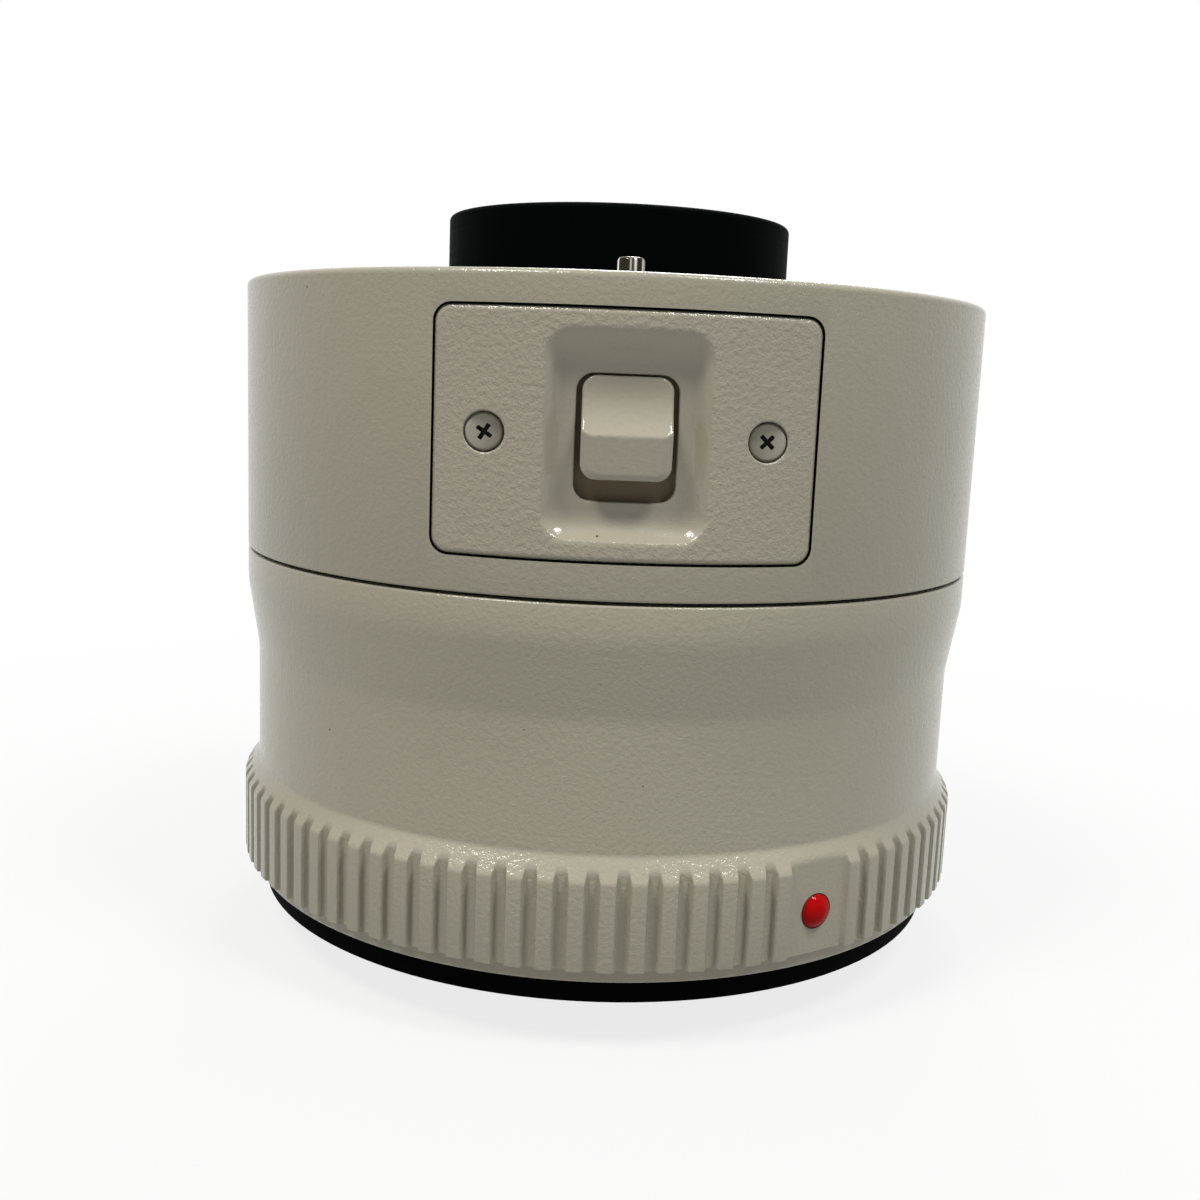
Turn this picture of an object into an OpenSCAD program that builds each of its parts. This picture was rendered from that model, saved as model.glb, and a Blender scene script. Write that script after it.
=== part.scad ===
// Camera teleconverter, two times, for lenses with a three-lug bayonet.
// The camera flange lies in the plane z = 0, the lens looks up along +Z,
// and the sliding lens lock is on the -Y side. Angles are counted from there towards +X.
// Radial sizes step outwards and inwards from the throat of the mount, and heights from the two flanges.
// All sizes are in millimetres.

/* [Overall] */
// Distance from the camera flange to the lens flange
flange_len = 57.4; // [52:0.2:63]
// Throat diameter of the lens mount, between its lugs
throat_d = 54.2; // [49:0.1:60]
// Width of the mount rings' faces outside the throat
ring_land = 5.4; // [5:0.1:6]

/* [Front barrel] */
// Step from the mount ring's edge out to the front barrel's bore
bore_step = 0.45; // [0.4:0.05:0.6]
// Wall of the front barrel
front_wall = 2.6; // [2.4:0.1:3]
// Step from the lens flange down to the painted rim
rim_drop = 0.1; // [0:0.05:0.4]
// Rounding of the rim's outer edge
rim_round = 0.55; // [0.2:0.05:1]
// Distance from the lens flange down to the seam between the two barrels
seam_drop = 24.83; // [23:0.1:27]
// Width of the seam
seam_gap = 0.28; // [0.1:0.02:0.5]
// Length of the tongue that closes the seam from inside
tongue_len = 2.4; // [1:0.1:3]
// Thickness of the inner lips that the mount rings clamp
lip_t = 1.4; // [1:0.1:1.8]

/* [Rear barrel] */
// Step from the front barrel in to the waist
waist_step = 1; // [0.6:0.05:1.4]
// Wall of the rear barrel at the waist
rear_wall = 2.6; // [2.4:0.1:2.9]
// Wall of the rear barrel where it is hollowed out
thin_wall = 1.5; // [1.2:0.1:1.8]
// Height of the straight collar between the seam and the cone
collar_h = 2.93; // [2:0.1:4]
// Height of the cone between the waist and the collar
cone_h = 6.4; // [4:0.1:8]
// Height of the lower edge of the grip ribs
grip_bottom_z = 2.8; // [2.4:0.05:3.5]
// Height of the grip ribs
grip_h = 7.45; // [6:0.05:8.5]
// Step from the front barrel out to the grip ribs
grip_step = 0.35; // [0.1:0.05:0.8]
// Height of the sloping shoulder from the grip ribs up to the waist
shoulder_h = 1.85; // [1.4:0.05:3]
// Radius of the blends at the shoulder's two ends
shoulder_blend = 0.7; // [0.3:0.05:1.2]
// Step from the grip ribs in to the plain skirt below them
skirt_step = 1.05; // [0.8:0.05:1.3]
// Height of the skirt's lower edge
skirt_z = 1.5; // [1:0.05:1.7]

/* [Grip] */
// Number of rib pitches round the grip
rib_count = 90; // [72:1:100]
// Width of a groove at the surface
groove_w = 1.2; // [0.9:0.05:1.5]
// Width of a groove at its floor
groove_floor_w = 0.84; // [0.5:0.02:0.9]
// Depth of a groove
groove_depth = 0.6; // [0.3:0.05:0.8]
// Number of grooves that the flat round the index dot takes up
panel_grooves = 3; // [3:2:5]
// Angle of the camera side's index dot from the lens lock
dot_az = 30; // [10:1:60]
// Height of the index dot's centre
dot_z = 6.4; // [5:0.1:7.5]
// Diameter of the index dot
dot_d = 3.1; // [2:0.1:4]
// How far the index dots stand proud
dot_dome = 0.35; // [0.1:0.05:0.6]

/* [Lock plate] */
// Width of the lock plate
plate_w = 29.6; // [27:0.1:33]
// Height of the lock plate
plate_h = 18.9; // [17.2:0.1:20]
// Corner radius of the lock plate
plate_corner = 1.3; // [0.8:0.1:2]
// Distance from the lens flange down to the middle of the plate
plate_drop = 12.25; // [11.2:0.05:13.2]
// Thickness of the lock plate
plate_t = 1.8; // [1.6:0.05:1.9]
// Gap between the lock plate and its pocket
plate_gap = 0.2; // [0.1:0.02:0.3]
// Width of the dish at the plate's surface
dish_w = 12.6; // [11.8:0.1:13.8]
// Height of the dish at the plate's surface
dish_h = 16; // [15:0.1:17]
// Corner radius of the dish's floor
dish_corner = 0.9; // [0.5:0.1:1.4]
// Depth of the dish at its middle
dish_depth = 1.7; // [1.5:0.05:1.9]
// How far the dish's walls lean out, per unit of depth
dish_draft = 1.2; // [1:0.05:1.3]
// Thickness of the plate behind the dish
dish_wall = 1; // [0.8:0.05:1.1]
// Distance of the plate screws from the middle of the plate
plate_screw_x = 10.8; // [10:0.1:11.6]
// Diameter of the plate screws' heads
plate_head_d = 2.9; // [2.4:0.1:3.2]
// Height of the plate screws' heads
plate_head_h = 0.6; // [0.4:0.05:0.8]
// Thread diameter of the plate screws
plate_screw_d = 1.7; // [1.4:0.1:2]

/* [Lens lock] */
// Width of the sliding knob
knob_w = 6.94; // [6:0.02:7.6]
// Height of the sliding knob
knob_h = 7.8; // [7:0.05:8.5]
// Corner radius of the sliding knob
knob_corner = 1.2; // [0.6:0.1:1.8]
// Height of the knob's ridge above the knob's lower end
knob_ridge = 3.42; // [2.8:0.02:4]
// How far the knob's ridge lies below the plate's surface
knob_sink = 0.3; // [0.1:0.05:0.5]
// How far the knob slides
lock_travel = 1.6; // [1.2:0.05:1.8]
// Gap between the knob and its slot
slot_gap = 0.14; // [0.1:0.02:0.25]
// Side gap between the knob and its slot
slot_side_gap = 0.43; // [0.3:0.01:0.5]
// Thickness of the carrier plate behind the knob
carrier_t = 1.1; // [0.9:0.05:1.2]
// Diameter of the lock pin
pin_d = 2.2; // [1.8:0.05:2.4]
// Step from the throat out to the lock pin's centre
pin_step = 2.2; // [2:0.05:2.5]
// How far the lock pin stands out of the lens flange
pin_out = 1.4; // [1.2:0.05:1.6]
// Running clearance round the lock pin
pin_play = 0.05; // [0.03:0.01:0.08]
// Mean diameter of the lock spring's turns
spring_d = 3.4; // [3:0.05:3.8]
// Wire diameter of the lock spring
spring_wire = 0.36; // [0.3:0.01:0.4]
// Number of turns of the lock spring
spring_turns = 6; // [4:1:6]

/* [Lens mount] */
// Thickness of the lens mount ring
front_ring_t = 2.2; // [2:0.1:2.6]
// How far the lugs reach in from the throat
lug_reach = 1.4; // [1:0.05:1.6]
// Angle that one lug covers
lug_span = 50; // [36:1:54]
// How far the lugs lie below the lens flange
lug_sink = 0.3; // [0.1:0.05:0.6]
// Depth of the socket from the lens flange to the shelf of the frame
socket_depth = 8; // [7.2:0.1:8.8]
// Distance of the lens side's mount screws from the mount ring's edge
front_screw_inset = 3; // [2.6:0.1:3.4]
// Head diameter of the mount screws
mount_head_d = 3; // [2.6:0.1:3.2]
// Thread diameter of the mount screws
mount_screw_d = 1.6; // [1.4:0.1:1.8]

/* [Camera mount] */
// Thickness of the camera mount ring's flange
rear_ring_t = 1.8; // [1.75:0.05:2.2]
// Step from the throat in to the bayonet tube
bayonet_step = 1.7; // [1.6:0.05:2]
// Wall of the bayonet tube
bayonet_wall = 1.1; // [0.9:0.05:1.2]
// How far the bayonet tube stands out of the camera flange
bayonet_len = 4.4; // [4.2:0.05:4.8]
// How far the bayonet lugs stand out of the tube
bayonet_lug = 1.45; // [1.2:0.05:1.5]
// Thickness of a bayonet lug
lug_t = 1.4; // [1:0.05:1.6]
// Distance from the camera flange to the upper side of a bayonet lug
lug_drop = 2.6; // [2.4:0.05:2.8]
// Distance of the camera side's mount screws from the mount ring's edge
rear_screw_inset = 3.6; // [3.3:0.1:3.7]
// How far the rubber seal reaches past the camera flange
seal_out = 0.6; // [0.3:0.05:0.8]
// Step from the skirt in to the seal's upper edge
seal_step = 0.4; // [0.2:0.05:0.6]
// How far the seal's side leans in, from its upper to its lower edge
seal_lean = 0.6; // [0.2:0.05:0.7]

/* [Frame] */
// Step from the mount ring's edge in to the frame
frame_step = 1.5; // [1.2:0.1:1.8]
// Wall of the inner frame
frame_wall = 1.9; // [1.6:0.1:2.2]
// Distance from the lens flange down to the web that carries the lens cell
web_drop = 27.4; // [26:0.2:30]
// Thickness of the web
web_t = 3; // [2.4:0.1:3.4]
// Fit gap between pieces that are pushed together
fit_gap = 0.05; // [0.03:0.01:0.08]

/* [Optics] */
// Gap between the nose and the contact block beside it
nose_gap = 1.75; // [1:0.05:2.4]
// How far the nose stands out in front of the lens flange
nose_out = 7.2; // [6:0.1:8]
// Rounding of the nose's front edge
nose_round = 0.5; // [0.2:0.05:0.9]
// Wall of the nose round the front lenses
nose_wall = 2.05; // [1.6:0.05:2.6]
// Step from the front lenses' edge out to the middle lenses' edge
middle_step = 0.55; // [0.3:0.05:1]
// Step from the middle lenses' edge out to the rear lens's edge
rear_step = 2.35; // [1.6:0.05:2.8]
// Wall of the lens cell round the rear lens
cell_wall = 2; // [1.8:0.05:2.3]
// Height of the rear end of the lens cell
cell_rear_z = 4; // [3.6:0.1:4.6]

/* [Contacts] */
// Number of contact pins
contact_count = 11; // [7:2:11]
// Angle between contact pins
contact_pitch = 6; // [5.6:0.1:6.4]
// Step from the throat in to the contact pins
contact_step = 5.3; // [5:0.1:5.6]
// Diameter of a contact pin
contact_d = 1.1; // [0.8:0.05:1.2]
// How far a contact pin stands out of its block
contact_out = 0.9; // [0.85:0.05:1.1]
// How far a contact pin can be pressed in
contact_travel = 0.8; // [0.5:0.05:0.85]

/* [Hidden] */
$fn = 96;

// Colours
paint = [0.66, 0.64, 0.58];
black = [0.06, 0.06, 0.065];
steel = [0.72, 0.72, 0.72];
gold = [0.85, 0.68, 0.32];
red = [0.75, 0.04, 0.05];
glass = [0.55, 0.68, 0.75];

// How far a cut runs past the face that it opens, and the size of a broken edge
cut = 0.5;
edge = 0.15;

// Radii of the mount rings and the outer shell
throat_r = throat_d / 2;
ring_r = throat_r + ring_land;
ring_pocket_r = ring_r + 2 * fit_gap;
front_in = ring_r + bore_step;
front_r = front_in + front_wall;
waist_r = front_r - waist_step;
rear_in = waist_r - rear_wall;
hollow_r = waist_r - thin_wall;
grip_r = front_r + grip_step;
skirt_r = grip_r - skirt_step;

// Heights of the front end
rim_z = flange_len - rim_drop;
ring_seat_z = flange_len - front_ring_t;
shelf_z = flange_len - socket_depth;

// The two barrels meet at the seam, with their lips on the frame's shoulders
seam_z = flange_len - seam_drop;
seam_top = seam_z + seam_gap / 2;
seam_low = seam_z - seam_gap / 2;
tongue_r = front_in - 3 * fit_gap;
front_lip_z = ring_seat_z - lip_t;
rear_lip_z = rear_ring_t + lip_t;
frame_r = ring_r - frame_step;
spigot_r = frame_r + 2 * fit_gap;
lip_in = spigot_r + 2 * fit_gap;
cone_top_z = seam_low - collar_h;
cone_bottom_z = cone_top_z - cone_h;

// Grip
grip_top_z = grip_bottom_z + grip_h;
shoulder_z = grip_top_z + shoulder_h;
rib_pitch = 360 / rib_count;
panel_half = (panel_grooves - 1) / 2 * rib_pitch;
panel_w = 2 * grip_r * sin(panel_half) + groove_w;
panel_y = grip_r - groove_depth;
dot_seat = 0.6;

// Lock plate: the dish's floor is a plane, square to Y
plate_z = flange_len - plate_drop;
plate_in = front_r - plate_t;
window_up = 0.06;
dish_y = front_r - dish_depth;
dish_back_y = dish_y - dish_wall;
dish_floor_h = dish_h - 2 * dish_draft * dish_depth;
dish_side_depth = sqrt(front_r * front_r - dish_w * dish_w / 4) - dish_y;
dish_floor_w = dish_w - 2 * dish_draft * dish_side_depth;
backing_edge = 1.3;
backing_w = dish_floor_w + 2 * backing_edge;
backing_h = dish_floor_h + 2 * backing_edge;
backing_gap = 0.3;
head_gap = 0.15;
counterbore_d = plate_head_d + 2 * head_gap;
plate_seat_floor = 0.3;
plate_seat_x = plate_screw_x - counterbore_d / 2;
plate_seat_y = sqrt(plate_in * plate_in - plate_seat_x * plate_seat_x) + plate_seat_floor;
boss_wall = 1.3;
boss_h = 0.5;
boss_d = plate_screw_d + 2 * boss_wall;
boss_in = front_in - boss_h;
boss_end_y = sqrt(boss_in * boss_in - plate_screw_x * plate_screw_x);

// Knob and slot: the knob rests near the slot's upper end
slot_drop = 0.13;
slot_h = knob_h + lock_travel + 2 * slot_gap;
slot_w = knob_w + 2 * slot_side_gap;
slot_z = plate_z - slot_drop;
slot_low = slot_z - slot_h / 2;
slot_top = slot_z + slot_h / 2;
knob_low = slot_top - slot_gap - knob_h;
knob_top = knob_low + knob_h;
knob_mid = knob_low + knob_h / 2;
knob_top_rise = 0.3;
knob_low_rise = 0.75;
ridge_y = front_r - knob_sink;
knob_top_y = dish_y + knob_top_rise;
knob_low_y = dish_y + knob_low_rise;

// Carrier behind the plate, with the arm that holds the pin
slide_gap = 0.1;
carrier_out = dish_back_y - slide_gap;
carrier_in = carrier_out - carrier_t;
carrier_lap = 0.4;
carrier_side = 1.2;
carrier_w = slot_w + 2 * carrier_side;
carrier_low = slot_low - carrier_lap;
carrier_top = slot_top + lock_travel + carrier_lap;
pin_r = throat_r + pin_step;
shelf_t = 2.4;
shelf_low = shelf_z - shelf_t;
pin_collar_w = 0.5;
pin_collar_h = 0.6;
pin_collar_gap = 0.4;
pin_collar_d = pin_d + 2 * pin_collar_w;
arm_wall = 0.7;
arm_tip = 0.8;
arm_h = 2.4;
arm_w = pin_d + 2 * arm_wall;
arm_end = pin_r - pin_d / 2 - arm_tip;
arm_top = shelf_low - pin_collar_h - pin_collar_gap;
arm_low = arm_top - arm_h;

// Pin, spring and the pocket in the frame
spring_len = 5.2;
spring_seat_z = arm_low - spring_len;
pin_guide_h = 2.4;
pin_guide_z = spring_seat_z - pin_guide_h;
pin_tail_up = 0.4;
pin_tail_z = pin_guide_z + pin_tail_up;
pin_tip_z = flange_len + pin_out;
pin_chamfer = 0.35;
pin_hole_gap = 0.2;
pocket_side = 0.4;
pocket_w = carrier_w + 2 * pocket_side;
pocket_end = 1.14;
pocket_top = carrier_top + pocket_end;
pocket_back = 1;
guide_sink = 1;

// Screws between knob and carrier
slider_screw_d = 1;
slider_head_d = 1.5;
slider_head_h = 0.45;
slider_head_gap = 0.2;
slider_screw_up = 0.95;
slider_bite = 0.9;
slider_hole_end = 0.1;
slider_screw_x = arm_w / 2 + slider_head_d / 2 + slider_head_gap;
slider_screw_z = knob_low + slider_screw_up;

// Lugs and screws of both mounts, seen from the lens lock
lug_azs = [60, 180, 300];
lug_half = lug_span / 2;
front_screw_azs = [45, 135, 225, 315];
rear_screw_azs = [40, 140, 220, 320];
front_screw_r = ring_r - front_screw_inset;
rear_screw_r = ring_r - rear_screw_inset;
mount_head_h = 0.8;
mount_screw_len = 4.2;
head_sink = 0.1;
hole_end = 0.3;
lug_in_r = throat_r - lug_reach;
socket_r = throat_r + 2 * fit_gap;
leaf_t = 0.2;
leaf_bow = 0.25;
leaf_gap = 0.1;
leaf_half = lug_half - 3;
leaf_fn = 360;
front_dot_az = 90;
front_dot_d = 2;
front_dot_r = (ring_r + front_r) / 2;

// Camera mount
bayonet_r = throat_r - bayonet_step;
bayonet_in = bayonet_r - bayonet_wall;
lug_r = bayonet_r + bayonet_lug;
rear_lug_half = lug_half - 2;
relief_gap = 0.35;
relief_r = lug_r + relief_gap;
relief_t = 0.3;
lock_hole_d = 2.8;
lock_hole_len = 2;
lock_hole_floor = 0.4;
lock_hole_z = rear_ring_t - lock_hole_floor;
seal_top_r = skirt_r - seal_step;
seal_low_r = seal_top_r - seal_lean;
seal_in = ring_r + fit_gap;
seal_lip = 0.7;
seal_root = 0.1;

// Frame
wall_in = frame_r - frame_wall;
web_top = flange_len - web_drop;
web_z = web_top - web_t;
shelf_w = 2;
shelf_in = socket_r - shelf_w;
floor_step = 0.9;
floor_in = throat_r - floor_step;
floor_t = 3.2;
front_collar_h = 2.8;
rear_collar_z = 6;
rear_collar_r = rear_in - 3 * fit_gap;
front_collar_r = front_in - 3 * fit_gap;
hollow_margin = 1;
hollow_low = rear_collar_z + hollow_margin;
hollow_top = cone_top_z - 2 * hollow_margin;

// Contact block on the lens side, opposite the lens index
contact_az = -90;
contact_r = throat_r - contact_step;
block_margin = 6;
contact_half = (contact_count - 1) / 2 * contact_pitch + block_margin;
block_screw_azs = [for (s = [-1, 1]) contact_az + s * (contact_half - 4)];
baffle_t = 0.8;
baffle_z = shelf_z + baffle_t;
baffle_gap = 0.35;
block_inner = 3.4;
block_outer = 2.9;
block_in = contact_r - block_inner;
block_out = contact_r + block_outer;
block_gap = 0.2;
block_gap_az = 0.5;
block_rise = 0.8;
block_drop = 0.4;
block_top = baffle_z + block_rise;
block_low = shelf_low - block_drop;
block_ear_out = socket_r - block_gap;
block_screw_inset = 1.1;
block_screw_r = socket_r - block_screw_inset;
block_screw_end = 0.4;

// Contact pins and their springs
contact_play = 0.05;
contact_collar_w = 0.25;
contact_collar_d = contact_d + 2 * contact_collar_w;
contact_collar_h = 0.6;
contact_spring_solid = 1.2;
contact_collar_z = block_low + contact_spring_solid + contact_travel;
contact_collar_top = contact_collar_z + contact_collar_h;
contact_bore_d = contact_collar_d + 4 * contact_play;
contact_tail_d = 0.75;
contact_tail = 0.7;
contact_wire = 0.2;
contact_turns = 3;
coil_inset = 0.01;
contact_coil_d = contact_collar_d - contact_wire - 2 * coil_inset;

// Boards and the ribbon between them
board_t = 0.8;
flex_t = 0.2;
flex_w = 8;
flex_gap = 0.6;
flex_x = block_out + flex_gap;
flex_leg = 3.2;
flex_slot_w = 1.4;
flex_slot_len = flex_w + 2 * flex_gap;

// Lens cells: the nose holds the front lenses, the rear cell the others
nose_r = block_in - nose_gap;
nose_z = flange_len + nose_out;
nose_chamfer = 0.4;
front_lens_r = nose_r - nose_wall;
middle_lens_r = front_lens_r + middle_step;
rear_lens_r = middle_lens_r + rear_step;
cell_r = rear_lens_r + cell_wall;
neck_wall = 2.8;
cell_neck_r = middle_lens_r + neck_wall;
cell_flange_w = 4.3;
cell_flange_r = cell_r + cell_flange_w;
cell_flange_t = 2.5;
land_w = 2;
land_r = front_lens_r - land_w;
cell_screw_azs = [90, 210, 330];
cell_screw_inset = 2.1;
cell_screw_r = cell_r + cell_screw_inset;
cell_screw_d = 1.8;
cell_head_d = 3.2;
cell_head_h = 1.2;
cell_screw_end = 0.6;

// Circuit board on the web
pcb_t = 1;
pcb_gap = 0.4;
pcb_half = 50;
pcb_in = cell_flange_r + pcb_gap;
pcb_out = wall_in - pcb_gap / 2;
chip_azs = [-36, -20, 20, 34];
chip_half = 4.5;
chip_h = 1.1;

// Stack of lenses, from the front
retainer_sink = 1.2;
front_retainer_h = 1.8;
lens_1_t = 3.2;
front_spacer_h = 3;
lens_2_t = 4;
lens_3_t = 2;
front_land = 3;
lens_1_z = nose_z - retainer_sink - front_retainer_h;
front_spacer_z = lens_1_z - lens_1_t;
lens_2_z = front_spacer_z - front_spacer_h;
lens_3_z = lens_2_z - lens_2_t;
front_land_z = lens_3_z - lens_3_t;
joint_z = front_land_z - front_land;
spigot_len = 3;
spigot_z = joint_z - spigot_len;
middle_land = 2;
lens_4_t = 3.6;
middle_spacer_h = 2.8;
lens_5_t = 2.8;
lens_6_t = 4;
lens_4_z = spigot_z - middle_land;
middle_spacer_z = lens_4_z - lens_4_t;
lens_5_z = middle_spacer_z - middle_spacer_h;
lens_6_z = lens_5_z - lens_5_t;
step_z = lens_6_z - lens_6_t;
rear_retainer_h = 2.6;
retainer_inset = 1;
lens_7_t = 4.4;
rear_retainer_z = cell_rear_z + retainer_inset;
lens_7_low = rear_retainer_z + rear_retainer_h;
lens_7_z = lens_7_low + lens_7_t;

// Lenses: the polished caps start inside the rings that hold the rims
ring_wall = 1.4;
lens_rim = ring_wall + 2 * fit_gap;
cement = 0.02;
ball_fn = 480;
spacer_wall = 0.8;
spanner_w = 1.2;
spanner_depth = 0.6;

// Bulges of the lens surfaces at their middle: above zero convex, below zero hollow
lens_1_front_bulge = 1.5;
lens_1_rear_bulge = -0.7;
lens_2_front_bulge = -1.1;
front_cement_bulge = 1.6;
lens_4_front_bulge = -1;
lens_4_rear_bulge = -1.3;
lens_5_front_bulge = 1.8;
middle_cement_bulge = 1.5;
lens_6_rear_bulge = 0.6;
lens_7_front_bulge = 1.6;
lens_7_rear_bulge = 1.8;

// Rear baffle and contacts
rear_disc_t = 1.6;
rear_disc_z = cell_rear_z - rear_disc_t;
rear_baffle_r = bayonet_in - 3 * fit_gap;
rear_baffle_wall = 1;
rear_baffle_in = rear_baffle_r - rear_baffle_wall;
rear_open_step = 0.9;
rear_open_r = rear_lens_r - rear_open_step;
rear_open_flare = 0.4;
rear_block_inner = 2.6;
rear_block_in = contact_r - rear_block_inner;
rear_block_out = rear_baffle_in - 2 * fit_gap;
rear_end_gap = 0.2;
rear_block_low = rear_end_gap - bayonet_len;
rear_block_half = contact_half - 1;
rear_pad_t = 0.3;
rear_pad_proud = 0.05;
rear_pad_half = contact_pitch * 0.3;
rear_pad_gap_az = 0.15;
rear_pad_inner = 1.6;
rear_pad_outer = 0.6;
baffle_screw_r = (rear_lens_r + cell_r) / 2;
baffle_head_d = 2.2;
baffle_head_h = 0.6;
baffle_screw_d = 1;
baffle_screw_len = 3;

// Helpers

// Points of an arc round a centre, from angle a0 to a1
function arc(x, y, r, a0, a1, n = 8) =
    [for (i = [0 : n]) let (a = a0 + (a1 - a0) * i / n) [x + r * cos(a), y + r * sin(a)]];

// Points of an arc that rounds the corner b between a and c
function rounded(a, b, c, r) =
    let (u = (a - b) / norm(a - b), w = (c - b) / norm(c - b), half = acos(u * w) / 2,
         middle = b + (u + w) / norm(u + w) * r / sin(half),
         start = b + u * r / tan(half) - middle, end = b + w * r / tan(half) - middle,
         a0 = atan2(start[1], start[0]))
    arc(middle[0], middle[1], r, a0, a0 + atan2(cross(start, end), start * end), 4);

// Turns its children, made on the lens lock's side, to an angle round the optical axis
module at_az(a) rotate([0, 0, a]) children();

// Revolves an outline of radius and height about the optical axis
module turned(points) rotate_extrude() polygon(points);

// Plain ring between two radii and two heights
module ring(r0, r1, z0, z1) turned([[r0, z0], [r1, z0], [r1, z1], [r0, z1]]);

// Part of a ring, centred on the lens lock's side
module sector(r0, r1, z0, z1, half)
    rotate([0, 0, -90 - half])
        rotate_extrude(angle = 2 * half)
            polygon([[r0, z0], [r1, z0], [r1, z1], [r0, z1]]);

// Round bar parallel to the optical axis, on the lens lock's side
module bar(r, d, z0, z1) translate([0, -r, z0]) cylinder(d = d, h = z1 - z0);

// Pushes a flat x, z shape out along -Y, from distance y0 to y1
module outward(y0, y1) translate([0, -y0, 0]) rotate([90, 0, 0]) linear_extrude(y1 - y0) children();

module round_rect(w, h, r) {
    square([w - 2 * r, h], center = true);
    square([w, h - 2 * r], center = true);
    for (sx = [-1, 1], sy = [-1, 1])
        translate([sx * (w / 2 - r), sy * (h / 2 - r)]) circle(r);
}

// Rounded rectangle that widens with height: two crossing wedges and a cone in each corner
module flare(w, h, r, draft, depth) {
    grow = draft * depth;
    for (sx = [-1, 1], sy = [-1, 1])
        translate([sx * (w / 2 - r), sy * (h / 2 - r), 0]) cylinder(r1 = r, r2 = r + grow, h = depth);
    rotate([90, 0, 0]) translate([0, 0, r - h / 2]) linear_extrude(h - 2 * r)
        polygon([[-w / 2, 0], [w / 2, 0], [w / 2 + grow, depth], [-w / 2 - grow, depth]]);
    rotate([90, 0, 90]) translate([0, 0, r - w / 2]) linear_extrude(w - 2 * r)
        polygon([[-h / 2, 0], [h / 2, 0], [h / 2 + grow, depth], [-h / 2 - grow, depth]]);
}

// Cross recess of a screw head, cut down from z = 0. Its arms are shares of the head
module cross_recess(d, depth) {
    arm = d * 0.16;
    reach = d * 0.26;
    for (a = [30, 120])
        rotate([0, 0, a]) translate([-reach, -arm / 2, -depth]) cube([2 * reach, arm, depth + cut]);
}

// Flat-headed screw: its head stands on z = 0 and its shank points down
module pan_screw(head_d, head_h, d, length)
    difference() {
        union() {
            cylinder(d = head_d, h = head_h);
            translate([0, 0, -length]) cylinder(d = d, h = length + head_h / 2);
        }
        translate([0, 0, head_h]) cross_recess(head_d, head_h * 0.6);
    }

// Countersunk screw: its head's face is at z = 0
module sunk_screw(head_d, head_h, d, length)
    difference() {
        union() {
            translate([0, 0, -head_h]) cylinder(d1 = d, d2 = head_d, h = head_h);
            translate([0, 0, -length]) cylinder(d = d, h = length - head_h / 2);
        }
        cross_recess(head_d, head_h * 0.7);
    }

// Hole for a countersunk screw whose head lies below the face at z = 0
module sunk_hole(head_d, head_h, d, length) {
    translate([0, 0, -head_sink - head_h])
        cylinder(d1 = d + 2 * fit_gap, d2 = head_d + 2 * fit_gap, h = head_h);
    translate([0, 0, -head_sink - cut / 10]) cylinder(d = head_d + 2 * fit_gap, h = head_sink + cut);
    translate([0, 0, -length - cut]) cylinder(d = d + 2 * fit_gap, h = length + cut);
}

// Helical spring between two heights: rings of points along the coil, skinned and capped
module coil(mean_d, wire, z0, z1, turns, rings = 8, sides = 6) {
    n = turns * rings;
    rise = z1 - z0 - wire;
    points = [for (i = [0 : n], j = [0 : sides - 1])
        let (a = 360 * i / rings, b = 360 * j / sides, r = mean_d / 2 + wire / 2 * cos(b))
        [r * cos(a), r * sin(a), z0 + wire / 2 + rise * i / n + wire / 2 * sin(b)]];
    skin = [for (i = [0 : n - 1], j = [0 : sides - 1])
        let (k = (j + 1) % sides, p = i * sides, q = p + sides)
        each [[p + j, p + k, q + k], [p + j, q + k, q + j]]];
    last = n * sides;
    caps = [for (j = [1 : sides - 2]) each [[0, j + 1, j], [last, last + j, last + j + 1]]];
    polyhedron(points, concat(skin, caps));
}

// Lens between two rim planes. A bulge above zero is convex, below zero hollow, and zero is flat
module lens(r, z_front, z_rear, front_bulge, rear_bulge) {
    cap_r = r - lens_rim;
    function ball_r(bulge) = (cap_r * cap_r + bulge * bulge) / (2 * abs(bulge));
    module front_ball(bulge) translate([0, 0, z_front + bulge - sign(bulge) * ball_r(bulge)])
        sphere(ball_r(bulge), $fn = ball_fn);
    module rear_ball(bulge) translate([0, 0, z_rear - bulge + sign(bulge) * ball_r(bulge)])
        sphere(ball_r(bulge), $fn = ball_fn);
    difference() {
        union() {
            translate([0, 0, z_rear]) cylinder(r = r, h = z_front - z_rear);
            if (front_bulge > 0) intersection() {
                front_ball(front_bulge);
                translate([0, 0, z_front - cut]) cylinder(r = cap_r, h = front_bulge + 2 * cut);
            }
            if (rear_bulge > 0) intersection() {
                rear_ball(rear_bulge);
                translate([0, 0, z_rear - rear_bulge - cut]) cylinder(r = cap_r, h = rear_bulge + 2 * cut);
            }
        }
        if (front_bulge < 0) front_ball(front_bulge);
        if (rear_bulge < 0) rear_ball(rear_bulge);
    }
}

// Outer shell

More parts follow.
